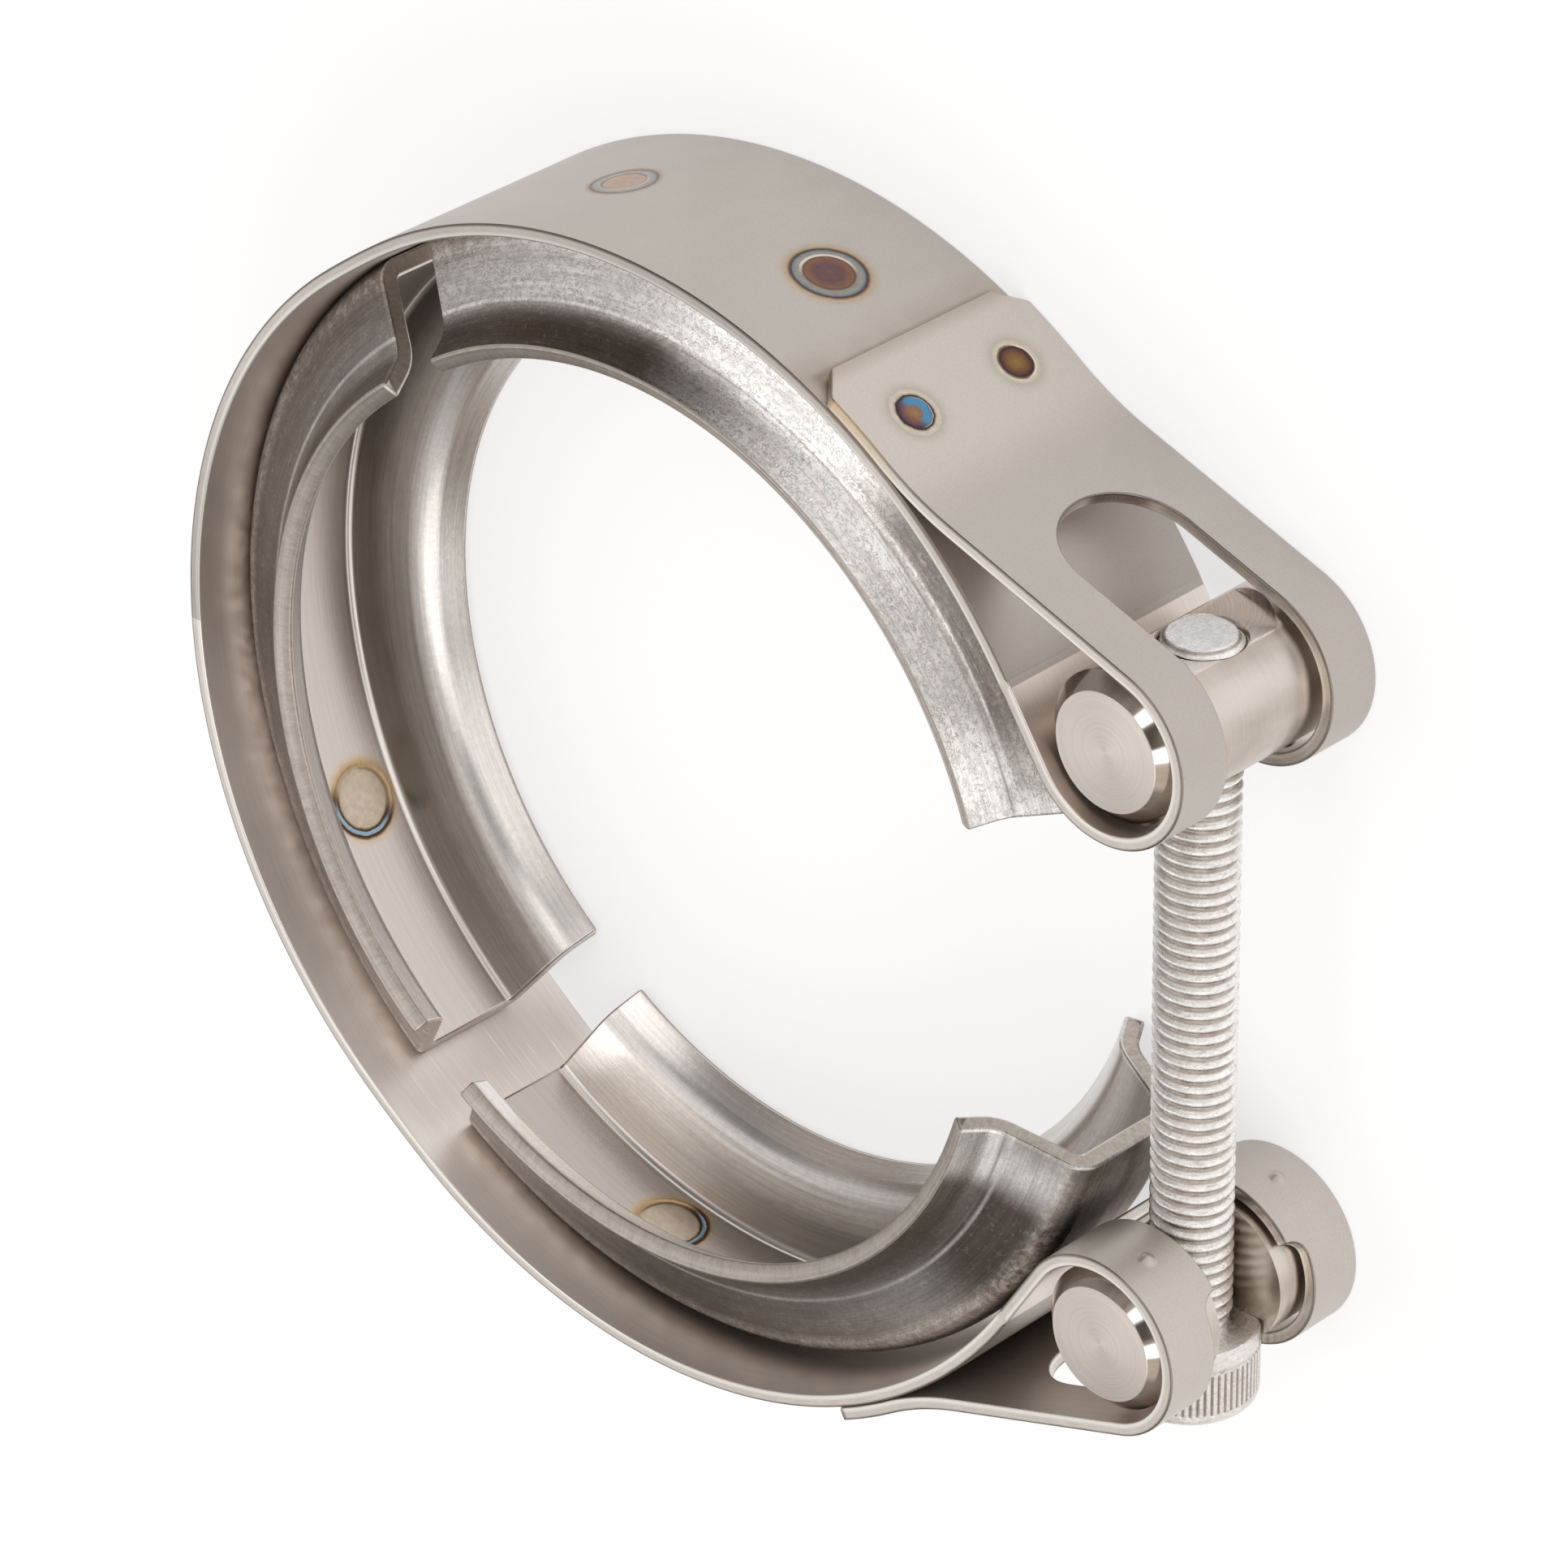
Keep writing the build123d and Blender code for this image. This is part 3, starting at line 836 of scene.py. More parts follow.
# Places on the flat sheets
BIG_WELD_R = 2.45
BEAD_R = 1.36
FLOOR_WELD_R = 2.6
BEAD_S = STRIP_L - 5.6
BLUE_BEAD_AT = (BEAD_S, 5.0)
SCORCH_S = STRIP_L - 2.0
LEG_V = FLOOR_Z
FLARE_V = FLOOR_Z + math.hypot(FLOOR_R - FLARE_R, FLARE_Z - FLOOR_Z)
LIP_V = FLARE_V + math.hypot(FLARE_R - LIP_R, LIP_Z - FLARE_Z)
MIDDLE_WELD_AT = (SEG_UV_R * rad(205.8 - (180 - SEG_HALF)), 0.55)
LOWER_WELD_AT = (SEG_UV_R * rad(95.4 - first_angle), 0.3)
tail_end, _ = strip_frame([STRIP_L], UPPER_OPENING)
tail_end = open_arm(tail_end[0], -UPPER_OPENING)
TAIL_END_S = RING_R * (math.pi - math.atan2(tail_end[1], tail_end[0]))

# The upper half's welds: place, radius, tints, raggedness, and the painted highlight's rim radius, side and
# cover
BAND_WELDS = (
    ((RING_R * rad(180 - 96.5), 0.0), BIG_WELD_R, PALE_WELD, 0.03, 0.68, (1.0, 0.4), 0.3),
    ((RING_R * rad(180 - 70.3), 0.0), BIG_WELD_R * 1.09, BROWN_WELD, 0.03, 0.74, (-1.0, -0.6), 0.6),
    (BLUE_BEAD_AT, BEAD_R, BLUE_BEAD, 0.16, 0.92, (-0.3, -1.0), 0.45),
    ((BEAD_S, -5.0), BEAD_R * 0.95, BROWN_BEAD, 0.08, 1.1, (-0.2, -1.0), 0.85),
)
BLUE_INDEX = 2

# Painted light and shade along the sheets, as pairs of place and tone: for the band's rim and then for
# each segment's leg, flare, groove and lift of the groove's shade
RIM_PAINTED_LIGHT = [(0, 0.66), (25, 0.92), (55, 0.74), (80, 0.68), (100, 0.9), (160, 1.0)]
MIDDLE_PAINTED_LIGHT = (
    [(0, 0.16), (14, 0.15), (35, 0.06), (55, 0.26), (73, 0.5)],
    [(0, 0.27), (20, 0.16), (50, 0.28), (73, 0.5)],
    [(0, 0.5), (16, 0.66), (34, 0.76), (48, 0.66), (60, 0.72), (73, 0.78)],
    [(0, 0.15), (20, 0.1), (40, 0.3), (60, 0.55), (73, 0.6)],
)
UPPER_PAINTED_LIGHT = (
    [(0, 0.9), (3, 0.45), (8, 0.1), (22, 0.16), (30, 0.94), (42, 1.0), (52, 0.62), (73, 0.5)],
    [
        (0, 0.85), (4, 1.0), (10, 0.62), (17, 0.72), (24, 1.0),
        (37, 1.0), (43, 0.5), (49, 0.02), (60, 0.0), (73, 0.06),
    ],
    [(0, 0.8), (73, 0.6)],
    [(0, 0.3), (73, 0.2)],
)
LOWER_PAINTED_LIGHT = (
    [(0, 0.42), (3, 0.8), (7, 0.0), (14, 0.0), (22, 0.32), (34, 0.18), (50, 0.12), (73, 0.42)],
    [(0, 0.85), (4, 1.0), (7, 0.12), (14, 0.06), (30, 0.14), (73, 0.35)],
    [(0, 0.7), (30, 0.62), (55, 0.8), (66, 1.0), (73, 1.0)],
    [(0, 0.35), (30, 0.34), (52, 0.5), (62, 0.95), (73, 1.0)],
)


class Value:
    """The output of a node, worked on with plain sums and the few steps that the looks share."""

    def __init__(self, nodes, socket):
        self.nodes = nodes
        self.socket = socket

    def __add__(self, other):
        return self.nodes.math("ADD", self, other)

    def __sub__(self, other):
        return self.nodes.math("SUBTRACT", self, other)

    def __rsub__(self, other):
        return self.nodes.math("SUBTRACT", other, self)

    def __mul__(self, other):
        return self.nodes.math("MULTIPLY", self, other)

    def __abs__(self):
        return self.nodes.math("ABSOLUTE", self)

    def map(self, from_min, from_max, to_min, to_max, **settings):
        ends = {"From Min": from_min, "From Max": from_max, "To Min": to_min, "To Max": to_max}
        return self.nodes.out("ShaderNodeMapRange", {"Value": self, **ends}, **settings)

    def step(self, low, high):
        """Smooth climb from 0 at low to 1 at high."""
        ends = (0.0, 1.0) if low < high else (1.0, 0.0)
        return self.map(min(low, high), max(low, high), *ends, interpolation_type="SMOOTHSTEP")

    def band(self, middle, reach):
        """A smooth ridge of height 1 at a middle value, 0 from a reach away."""
        return abs(self - middle).step(reach, 0.0)

    def spread(self, low, high):
        """A noise value about 0.5 stretched to run from low to high."""
        return self.map(0.3, 0.7, low, high)

    def to(self, colour, factor):
        """This colour mixed toward another one by a factor."""
        return self.nodes.mix(self, colour, factor)

    def shade(self, factor):
        """This colour made lighter or darker by a factor."""
        return self.nodes.shade(self, factor)


class Nodes:
    """A node tree, with short calls for the nodes that the looks need."""

    def __init__(self, tree):
        self.tree = tree

    def node(self, kind, inputs, **settings):
        made = self.tree.nodes.new(kind)
        for key, value in settings.items():
            setattr(made, key, value)
        for key, value in inputs.items():
            self.feed(made.inputs[key], value)
        return made

    def out(self, kind, inputs, output=0, **settings):
        return Value(self, self.node(kind, inputs, **settings).outputs[output])

    def feed(self, socket, value):
        if isinstance(value, Value):
            self.tree.links.new(value.socket, socket)
        elif socket.type == "RGBA":
            socket.default_value = (*value, 1.0)
        else:
            socket.default_value = value

    def math(self, operation, *values):
        return self.out("ShaderNodeMath", dict(enumerate(values)), operation=operation)

    def vector(self, x, y, z=0.0):
        return self.out("ShaderNodeCombineXYZ", {0: x, 1: y, 2: z})

    def apart(self, vector):
        made = self.node("ShaderNodeSeparateXYZ", {0: vector})
        return [Value(self, socket) for socket in made.outputs]

    def noise(self, place, scale, detail=3.0, roughness=0.55, distortion=0.0):
        if isinstance(place, tuple):
            place = self.vector(*place)
        look = {"Scale": scale, "Detail": detail, "Roughness": roughness, "Distortion": distortion}
        return self.out("ShaderNodeTexNoise", {"Vector": place, **look}, "Fac")

    def mix(self, a, b, factor, blend_type="MIX"):
        inputs = {0: factor, 6: a, 7: b}
        return self.out("ShaderNodeMix", inputs, 2, data_type="RGBA", blend_type=blend_type)

    def shade(self, colour, factor):
        return self.mix(colour, self.vector(factor, factor, factor), 1.0, "MULTIPLY")

    def distance(self, a, b):
        return self.math("SQRT", a * a + b * b)

    def ramp(self, value, stops, interpolation="LINEAR"):
        """A colour ramp through (place, colour with cover) stops."""
        made = self.node("ShaderNodeValToRGB", {0: value})
        made.color_ramp.interpolation = interpolation
        marks = made.color_ramp.elements
        while len(marks) < len(stops):
            marks.new(0.5)
        for mark, (at, colour) in zip(marks, stops):
            mark.position = at
            mark.color = colour
        return [Value(self, socket) for socket in made.outputs]

    def painted_light(self, value, stops):
        """Painted light and shade along a sheet, from pairs of place and tone."""
        reach = stops[-1][0]
        marks = [(at / reach, (tone, tone, tone, 1.0)) for at, tone in stops]
        return self.ramp(value * (1.0 / reach), marks, "EASE")[0]

    def weld(self, colour, mask, at, centre, radius, rings, wobble):
        """Heat tint of one spot weld over a colour; returns the colour and the distance in radii."""
        far = self.distance(at[0] - centre[0], at[1] - centre[1]) * (1.0 / radius)
        far = far + (self.noise(at, 1.6, 2.0) - 0.5) * wobble
        reach = rings[-1][0]
        tint, cover = self.ramp(far * (1.0 / reach), [(r / reach, (*look, 1.0)[:4]) for r, *look in rings])
        tint = tint.shade(self.noise(at, 1.8, 3.0).spread(0.9, 1.1))
        return colour.to(tint, cover * mask), far

    def arc(self, far, at, centre, towards, radius, reach, facing=(-0.2, 0.7)):
        """An arc at a distance in radii round a weld, strongest towards one direction on the sheet."""
        a, b = at[0] - centre[0], at[1] - centre[1]
        size = math.hypot(*towards)
        dot = a * (towards[0] / size) + b * (towards[1] / size)
        toward = self.math("DIVIDE", dot, self.math("MAXIMUM", self.distance(a, b), 0.01)).step(*facing)
        inner = far.step(radius - reach, radius - reach / 2)
        return inner * far.step(radius + reach, radius + reach / 2) * toward


class Metal(Nodes):
    """The nodes of one material."""

    def __init__(self, name, metallic=1.0):
        self.material = bpy.data.materials.new(name)
        self.material.use_nodes = True
        super().__init__(self.material.node_tree)
        self.surface = self.tree.nodes["Principled BSDF"]
        self.surface.inputs["Metallic"].default_value = metallic

    def flat(self):
        """Flat coordinates of a sheet in millimetres and the side of the sheet."""
        x, y, _ = self.apart(self.out("ShaderNodeUVMap", {}, uv_map="flat"))
        return x * UV_SCALE, y * UV_SCALE, self.out("ShaderNodeAttribute", {}, "Fac", attribute_name="side")

    def place(self):
        """Object coordinates in millimetres."""
        spot = self.out("ShaderNodeTexCoord", {}, "Object")
        return self.apart(self.out("ShaderNodeVectorMath", {0: spot, "Scale": 1 / MM}, operation="SCALE"))

    def finish(self, colour, roughness, height=None, depth=0.0, strength=0.8):
        self.feed(self.surface.inputs["Base Color"], colour)
        self.feed(self.surface.inputs["Roughness"], roughness)
        if height is not None:
            relief = {"Height": height, "Distance": depth * MM, "Strength": strength}
            self.feed(self.surface.inputs["Normal"], self.out("ShaderNodeBump", relief))
        return self.material


def band_steel(name, upper):
    """Blasted outside, warm drawn inside with painted light, sheared edges with painted highlights and
    shade, and heat-tinted welds on the upper half.
    """
    m = Metal(name)
    s, z, side = m.flat()
    away = abs(z)
    on_ring = s.step(INNER_LEG_S + 0.6, INNER_LEG_S - 0.6)
    facing = side * (on_ring * 2.0 - 1.0)
    outside = facing.step(0.55, 0.75)
    within = facing.step(-0.55, -0.75)
    edge = abs(side).step(0.62, 0.5)
    grain = m.noise((s, z), 5.0, 4.0, 0.75)
    cloud = m.noise((s, z), 0.16, 3.0)
    scratch = m.noise((s * 0.035, z * 2.2), 3.0, 4.0, 0.7)
    fine = m.noise((s * 0.1, z * 9.0), 3.0, 2.0)
    loop = s.step(LOOP_S + 3.0, LOOP_S + 9.0) * s.step(LEG_S + 1.0, LEG_S - 4.0)
    # Blasted outside; on the lower half the loop is lightened with painted light
    blasted = (
        m.mix(BLASTED, BLASTED_DARK, cloud.spread(0.0, 0.5))
        .to(TAIL_TONE, s.step(BLEND_S, BLEND_S + 6.0))
        .shade(loop * (0.0 if upper else 0.12) + 1.0)
        .shade(grain.spread(0.93, 1.07))
    )
    # Drawn inside: painted light lightens it toward the edges, and a painted highlight runs close to them
    drawn = (
        m.mix(BAND_INSIDE, BAND_EDGE_PAINTED_LIGHT, away.step(4.2, 7.0))
        .to(BAND_GAP, s.band((GAP_S + GAP_END_S) / 2, 6.5))
        .shade(scratch.spread(0.93, 1.07))
        .to(DRAWN_WHITE, scratch.step(0.62, 0.67) * 0.8)
        .shade(fine.spread(0.96, 1.04))
        .to(PAINTED_EDGE_HIGHLIGHT, away.step(7.6, 9.4) * within * 0.35)
    )
    # Sheared edge: painted shade toward one face, a painted highlight line at the other, and fine drag
    # marks
    drag = m.noise((s * 0.6, z * 0.6, facing * 2.0), 1.3, 4.0, 0.65)
    ragged = facing + (drag - 0.5) * 0.12
    cut = (
        m.shade(CUT_EDGE, drag.spread(0.92, 1.08))
        .to(PAINTED_SHADE_DARK, ragged.step(0.12, 0.24) * 0.85)
        .to(PAINTED_EDGE_HIGHLIGHT, ragged.step(-0.02, -0.17) * 0.7)
    )
    colour = blasted.to(drawn, within)
    height = grain * outside + scratch * (within * 0.4)
    if upper:
        # The tail's end throws a thin painted shadow and a mottled brown painted shade on the ring, and its
        # own end and cut edge get brown painted shade
        under = s.step(TAIL_END_S - 0.95, TAIL_END_S - 0.3) * s.step(TAIL_END_S + 2.5, TAIL_END_S + 1.0)
        colour = (
            colour.to(PAINTED_SHADE_DARK, under * (outside * away.step(9.4, 8.2)) * 0.8)
            .to(TAIL_BROWN_SHADE, s.band(TAIL_END_S - 0.6, 2.6) * (outside * cloud.spread(0.1, 0.6)))
            .to(TAIL_BROWN_SHADE, s.step(STRIP_L - 1.6, STRIP_L - 0.1) * outside * 0.45)
        )
        # The rim gets painted light along the strip, a scorch near the tail and brown painted shade at the
        # tail's end
        cut = (
            cut.shade(m.painted_light(s, RIM_PAINTED_LIGHT))
            .to(SCORCH, s.band(SCORCH_S, 9.0) * z.step(9.0, 9.7) * 0.6)
            .to(TAIL_BROWN_SHADE, s.step(STRIP_L - 1.9, STRIP_L - 1.4) * 0.75)
        )
        fars = []
        for centre, radius, rings, wobble, *_ in BAND_WELDS:
            colour, far = m.weld(colour, outside, (s, z), centre, radius, rings, wobble)
            fars.append(far)
        # Each weld gets a painted highlight on one side of its rim
        for far, (centre, _, _, _, radius, towards, cover) in zip(fars, BAND_WELDS):
            weld_highlight = m.arc(far, (s, z), centre, towards, radius, 0.06)
            colour = colour.to(WELD_PAINTED_HIGHLIGHT, weld_highlight * (outside * cover))
            rim = far.band(radius + 0.04, 0.14)
            pit = far.step(radius, radius - 0.08)
            height = height + (rim * 4.0 - pit * 6.0) * outside
        teal = m.arc(fars[BLUE_INDEX], (s, z), BLUE_BEAD_AT, (0.15, -1.0), 0.66, 0.34, (-0.5, 0.3))
        colour = colour.to(BEAD_BLUE, outside * teal)
    rough = outside * 0.08 + (grain * 0.1 + 0.33) - edge * 0.12
    return m.finish(colour.to(cut, edge), rough, height, 0.01)


def segment_steel(name, floor_light, skin_level, painted_light, weld=None, towards=None):
    """Drawn sheet: pale floor, streaked legs painted with light from dark to white, leathery outside,
    rolled lips with painted highlights.
    """
    m = Metal(name)
    u, v, side = m.flat()
    leg_light, flare_light, groove_light, lift = [m.painted_light(u, stops) for stops in painted_light]
    across = abs(v)
    outer = side.step(0.55, 0.75)
    groove = side.step(-0.55, -0.75)
    edge = abs(side).step(0.62, 0.5)
    leather = m.noise((u * 0.75, v, side), 2.4, 5.0, 0.72, 0.6)
    speck = m.noise((u, v, side), 6.5, 3.0, 0.75)
    patch = m.noise((u * 0.3, v * 0.9, side), 0.8, 4.0, 0.65)
    streak = m.noise((u * 0.03, v * 1.9, side), 2.0, 5.0, 0.7)
    hair = m.noise((u * 0.08, v * 8.0, side), 2.0, 3.0, 0.6)
    # Groove side: the floor's level and the legs' dark-to-bright run are painted light, with a painted
    # highlight and painted shade along the floor's bend and a painted highlight near the lip
    leg = across.step(LEG_V - 0.3, LEG_V + 0.4)
    painted_flank_light = (across + (patch - 0.5) * 1.6).step(LEG_V + 0.8, LEG_V + 5.2)
    flank = (
        m.mix(DRAWN_DARK, DRAWN_BRIGHT, m.math("MAXIMUM", painted_flank_light, lift))
        .shade(groove_light)
        .to(DRAWN_PALE, across.step(LIP_V - 1.3, LIP_V - 0.3) * 0.45)
    )
    inner = (
        m.shade(DRAWN_PALE, streak.spread(0.95, 1.05) * floor_light)
        .to(DRAWN_WHITE, across.band(LEG_V - 0.55, 0.3) * 0.8)
        .to(DRAWN_DARK, v.band(LEG_V - 1.15, 0.25) * 0.35)
        .to(flank, leg)
        .shade(hair.spread(0.95, 1.05))
        .shade(leather.spread(-0.09, 0.09) * painted_flank_light + 1.0)
        .shade(streak.spread(-0.14, 0.14) * leg + 1.0)
    )
    # Outer side: painted light along the arc on the leg and on the flare, painted shade and a painted
    # highlight along the flare's bend, and a painted highlight along the floor's bend
    flare = m.mix(DRAWN_BLACK, DRAWN_WHITE, flare_light)
    near = (
        m.mix(DRAWN_BLACK, DRAWN_WHITE, leg_light)
        .to(flare, (across + (patch - 0.5) * 1.2).step(FLARE_V - 2.4, FLARE_V - 0.4))
        .to(DRAWN_DARK, (across + (streak - 0.5) * 0.5).band(FLARE_V - 1.2, 0.22) * 0.6)
        .to(DRAWN_WHITE, across.band(FLARE_V - 1.75, 0.25) * 0.5)
    )
    outside = (
        m.mix(DRAWN_DARK, DRAWN_MID, patch.spread(0.0, 1.0))
        .to(near, v.step(0.5, -0.5))
        .to(DRAWN_BRIGHT, across.band(LEG_V + 0.3, 1.3) * leather.spread(0.0, 0.7))
        .to(DRAWN_BRIGHT, leather.step(0.56, 0.68) * 0.14)
        .to(DRAWN_BLACK, leather.band(0.46, 0.04) * patch.spread(0.45 * skin_level, 1.3 * skin_level))
        .shade(patch.spread(0.84, 1.16))
        .shade(streak.spread(0.76, 1.24))
        .shade(speck.spread(0.92, 1.08))
    )
    # Sheared lips carry painted highlights and painted shade across their rounding, streaked along; end
    # faces are dull
    lip_streak = m.noise((u * 0.12, side * 9.0, v), 1.6, 4.0, 0.7)
    lip = (
        m.mix(DRAWN_MID, DRAWN_BRIGHT, lip_streak.spread(-0.4, 1.0))
        .to(DRAWN_DARK, side.step(0.02, 0.2) * 0.85)
        .to(DRAWN_WHITE, side.band(-0.08, 0.12) * 0.8)
        .to(DRAWN_BLACK, side.step(-0.2, -0.34) * 0.75)
    )
    cut = (
        m.mix(END_FACE, END_FACE_DARK, leather.spread(0.0, 1.0))
        .shade(speck.spread(0.9, 1.1))
        .to(lip, across.step(LIP_V - 0.5, LIP_V - 0.1))
    )
    colour = inner.to(outside, outer)
    height = leather * (outer * (3.6 * skin_level + 0.6)) + speck * outer
    height = height + (hair * 0.25 + streak * 0.2) + leather * 0.6 * (groove * painted_flank_light)
    if weld is not None:
        colour, far = m.weld(colour, groove, (u, v), weld, FLOOR_WELD_R, FLOOR_WELD, 0.06)
        scorched = m.arc(far, (u, v), weld, towards, 1.0, 0.21, (-0.35, 0.35))
        cool = m.arc(far, (u, v), weld, towards, 0.985, 0.075, (0.1, 0.7))
        colour = colour.to(WELD_SCORCH, groove * scorched).to(WELD_BLUE, groove * cool)
        height = height + far.band(0.97, 0.12) * -3.0
    rough = speck.spread(0.0, 0.12) * outer + 0.24 + edge * 0.1
    return m.finish(colour.to(cut, edge), rough, height, 0.014)


def trunnion_steel(name, centre_y, flat_top):
    """Turned end faces with fine rings, a dark chamfer with painted reflections, and a barrel with fine
    turning marks and a painted highlight.
    """
    m = Metal(name)
    x, y, z = m.place()
    dx, dy = x - bx, y - centre_y
    length, half = abs(z), BAR_L / 2
    end = length.step(half - 0.07, half - 0.02)
    chamfer = length.step(half - BAR_CHAMFER - 0.08, half - BAR_CHAMFER + 0.02)
    rings = m.noise((m.distance(dx, dy) * 3.6, dx * 0.05, dy * 0.05), 3.0, 3.0, 0.6)
    angle = m.math("ARCTAN2", dy, dx)
    # A turned face throws light in a cross, brighter along two spokes
    spokes = m.math("SINE", angle * 2.0 + 0.6)
    face = m.mix(TURNED, TURNED_DARK, rings.spread(0.0, 0.6)).shade(spokes * 0.07 + 1.0)
    marks = m.noise((x * 0.1, y * 0.1, z * 4.0), 3.0, 3.0, 0.65)
    smear = m.noise((angle * 2.0, 0.0, z * 0.15), 1.2, 3.0)
    # Barrel: turning marks and a painted highlight along its length
    barrel = (
        m.mix(BARREL, BARREL_PALE, smear.spread(0.0, 0.8))
        .shade(marks.spread(0.93, 1.07))
        .to(DRAWN_BRIGHT, angle.band(rad(30), rad(26)) * 0.38)
    )
    # The chamfer is dark with two painted reflections at fixed angles
    reflection_patches = angle.band(rad(50), rad(13)) + angle.band(rad(17), rad(13))
    bevel = m.mix(CHAMFER, BARREL, smear.spread(0.0, 0.6)).to(PAINTED_REFLECTION, reflection_patches.step(0.35, 0.75))
    colour = barrel.to(bevel, chamfer).to(face, end)
    if flat_top:
        milled = dy.step(FLAT_HEIGHT - 0.12, FLAT_HEIGHT - 0.05) * (1.0 - chamfer)
        mill = m.noise((m.distance(dx + 6.0, z) * 3.0, 0.0, z * 0.1), 2.5, 3.0, 0.6)
        colour = colour.to(m.shade(TURNED, mill.spread(0.84, 1.22)), milled)
    rough = chamfer * -0.15 + (end * 0.16 + 0.26)
    return m.finish(colour, rough, rings * (end * 1.5) + marks * (1.0 - chamfer), 0.008, 0.7)


def bolt_zinc(name):
    """Grey zinc: smeared crests with dark marks, painted shade in the thread valleys and the knurl's
    grooves, a bluish tip face and a brownish knurled head.
    """
    m = Metal(name)
    x, y, z = m.place()
    r = m.distance(x - bx, z)
    shank = y.step(seat + 0.05, seat + 0.4) * y.step(tip_y - 0.05, tip_y - 0.12)
    valley = r.step(SHANK_R - 0.23, SHANK_R - 0.4) * shank
    knurl = r.step(HEAD_R - 0.03, HEAD_R - 0.1) * r.step(HEAD_R - 0.5, HEAD_R - 0.3)
    knurl = knurl * (y.step(seat - 1.7, seat - 1.9) * y.step(seat - 5.3, seat - 5.0))
    blotch = m.noise((x, y, z), 0.9, 4.0, 0.65)
    pit = m.noise((x, y, z), 4.0, 4.0, 0.7)
    spangle = m.noise((x, y, z), 1.6, 5.0, 0.75, 1.2)
    smear = m.noise((x * 0.6, y * 2.4, z * 0.6), 1.6, 4.0, 0.75, 0.8)
    tip = m.mix(ZINC_TIP, DRAWN_BRIGHT, spangle.spread(0.0, 1.0))
    # Dark smear marks are the zinc's own; the thread valleys and knurl grooves get painted shade
    colour = (
        m.mix(ZINC, ZINC_SMEAR, blotch.spread(0.0, 0.9))
        .shade(pit.spread(0.84, 1.16))
        .to(ZINC_MARK_AND_SHADE, smear.step(0.46, 0.34) * 0.4)
        .to(ZINC_MARK_AND_SHADE, valley * blotch.spread(0.9, 0.55))
        .to(tip, y.step(tip_y - 0.06, tip_y - 0.02))
        .to(BARREL, y.step(seat - 0.02, seat - 0.1) * 0.3)
        .to(ZINC_MARK_AND_SHADE, knurl * 0.85)
    )
    return m.finish(colour, blotch.spread(0.0, 0.18) + 0.2, pit + smear * 1.2, 0.06)


def white_floor(name):
    """Matt white that stays white to the camera and still takes the clamp's soft shadow."""
    m = Metal(name, 0.0)
    paper = m.noise(m.out("ShaderNodeTexCoord", {}, "Object"), 4.0, 2.0)
    m.surface.inputs["Emission Strength"].default_value = FLOOR_GLOW
    return m.finish(m.shade(FLOOR_WHITE, paper.spread(0.995, 1.005)), 0.95)


middle_steel = segment_steel("segment_middle_steel", 0.97, 0.3, MIDDLE_PAINTED_LIGHT, MIDDLE_WELD_AT, (0.85, -0.5))
upper_steel = segment_steel("segment_upper_steel", 0.9, 0.7, UPPER_PAINTED_LIGHT)
lower_steel = segment_steel("segment_lower_steel", 0.8, 0.3, LOWER_PAINTED_LIGHT, LOWER_WELD_AT, (-0.7, 0.1))
for obj, mat in (
    (band_upper, band_steel("band_upper_steel", True)),
    (band_lower, band_steel("band_lower_steel", False)),
    (seg_middle, middle_steel),
    (seg_upper, upper_steel),
    (seg_lower, lower_steel),
    (upper_bar, trunnion_steel("upper_trunnion_steel", upper_y, True)),
    (lower_bar, trunnion_steel("lower_trunnion_steel", lower_y, False)),
    (bolt, bolt_zinc("bolt_zinc")),
):
    obj.data.materials.clear()
    obj.data.materials.append(mat)

# Floor, light and camera
bpy.ops.mesh.primitive_plane_add(size=6.0, location=(0, 0, cad_box[0][2]))
floor = bpy.context.object
floor.name = "floor"
floor.data.materials.append(white_floor("floor_white"))

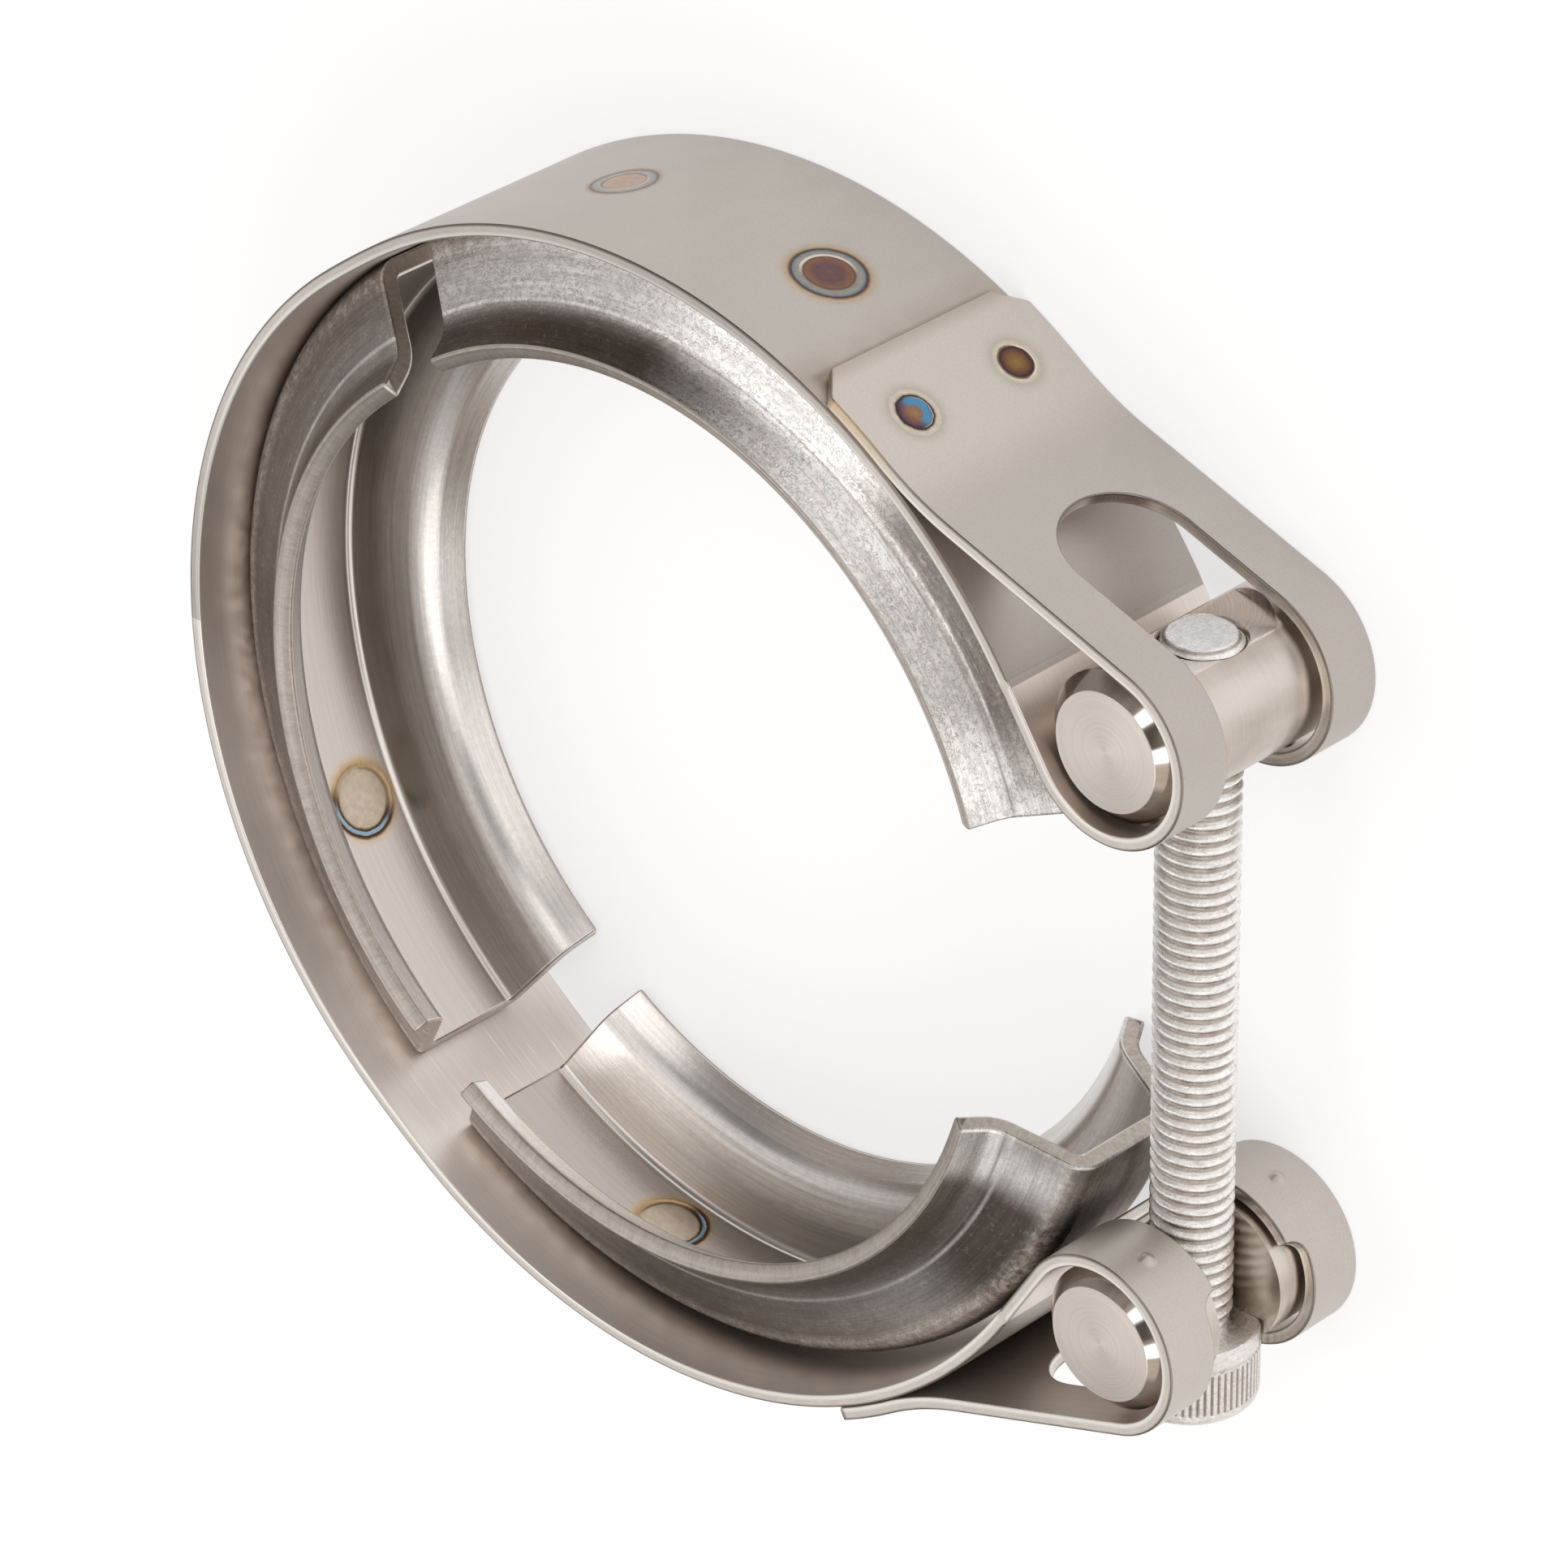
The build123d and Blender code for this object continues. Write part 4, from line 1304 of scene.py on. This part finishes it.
# The studio is a pale dome: bright overhead and behind the clamp, dim on the camera's own side.
# Each lobe has a direction, the dot products where it starts and is full, and a weight.
DOME_LEVEL = 0.62
DOME_LIGHTS = (
    ((-0.2, -0.1, 0.97), 0.3, 0.95, 0.15),
    ((-0.33, -0.08, 0.94), 0.94, 0.99, 0.95),
    ((0.86, 0.28, 0.4), 0.86, 0.97, 0.65),
    ((-0.6, -0.51, 0.62), 0.94, 0.985, 0.35),
    ((-0.3, 0.92, 0.2), 0.75, 0.93, -0.42),
    ((-0.4, -0.88, 0.25), 0.8, 0.97, -0.3),
    ((0.58, 0.25, 0.78), 0.955, 0.985, -0.4),
    ((0.17, 0.91, 0.38), 0.955, 0.992, 0.95),
    ((0.3, 0.55, 0.78), 0.97, 0.99, 0.7),
    ((0.7, -0.15, 0.7), 0.97, 0.99, 0.7),
    ((0.62, -0.51, 0.6), 0.9, 0.985, 0.9),
)
world = bpy.data.worlds.new("studio")
bpy.context.scene.world = world
world.use_nodes = True
sky = Nodes(world.node_tree)
dome = sky.out("ShaderNodeTexCoord", {}, "Generated")
level = DOME_LEVEL
for direction, low, high, weight in DOME_LIGHTS:
    toward = {0: dome, 1: Vector(direction).normalized()}
    lobe = sky.out("ShaderNodeVectorMath", toward, "Value", operation="DOT_PRODUCT")
    level = sky.math("MULTIPLY_ADD", lobe.step(low, high), weight, level)
background = sky.tree.nodes["Background"]
background.inputs["Color"].default_value = (1.0, 0.985, 0.965, 1.0)
sky.feed(background.inputs["Strength"], level)

CAM_POS = Vector((319.983, 262.822, 316.934))
RIGHT = Vector((0.7195396, -0.01451926, -0.69429962))
DOWN = Vector((0.34268922, -0.86215048, 0.37317643))
AHEAD = Vector((-0.60400899, -0.50644422, -0.61537582))
cam_data = bpy.data.cameras.new("camera")
cam_data.sensor_fit = "HORIZONTAL"
cam_data.lens = 165.78
cam_data.clip_start = 0.01
cam_data.clip_end = 20.0
cam = bpy.data.objects.new("camera", cam_data)
bpy.context.scene.collection.objects.link(cam)
turn = Matrix((RIGHT, -DOWN, -AHEAD)).transposed().to_4x4()
cam.matrix_world = Matrix.Translation(CAM_POS * MM) @ turn
bpy.context.scene.camera = cam
bpy.context.scene.view_settings.view_transform = "Standard"
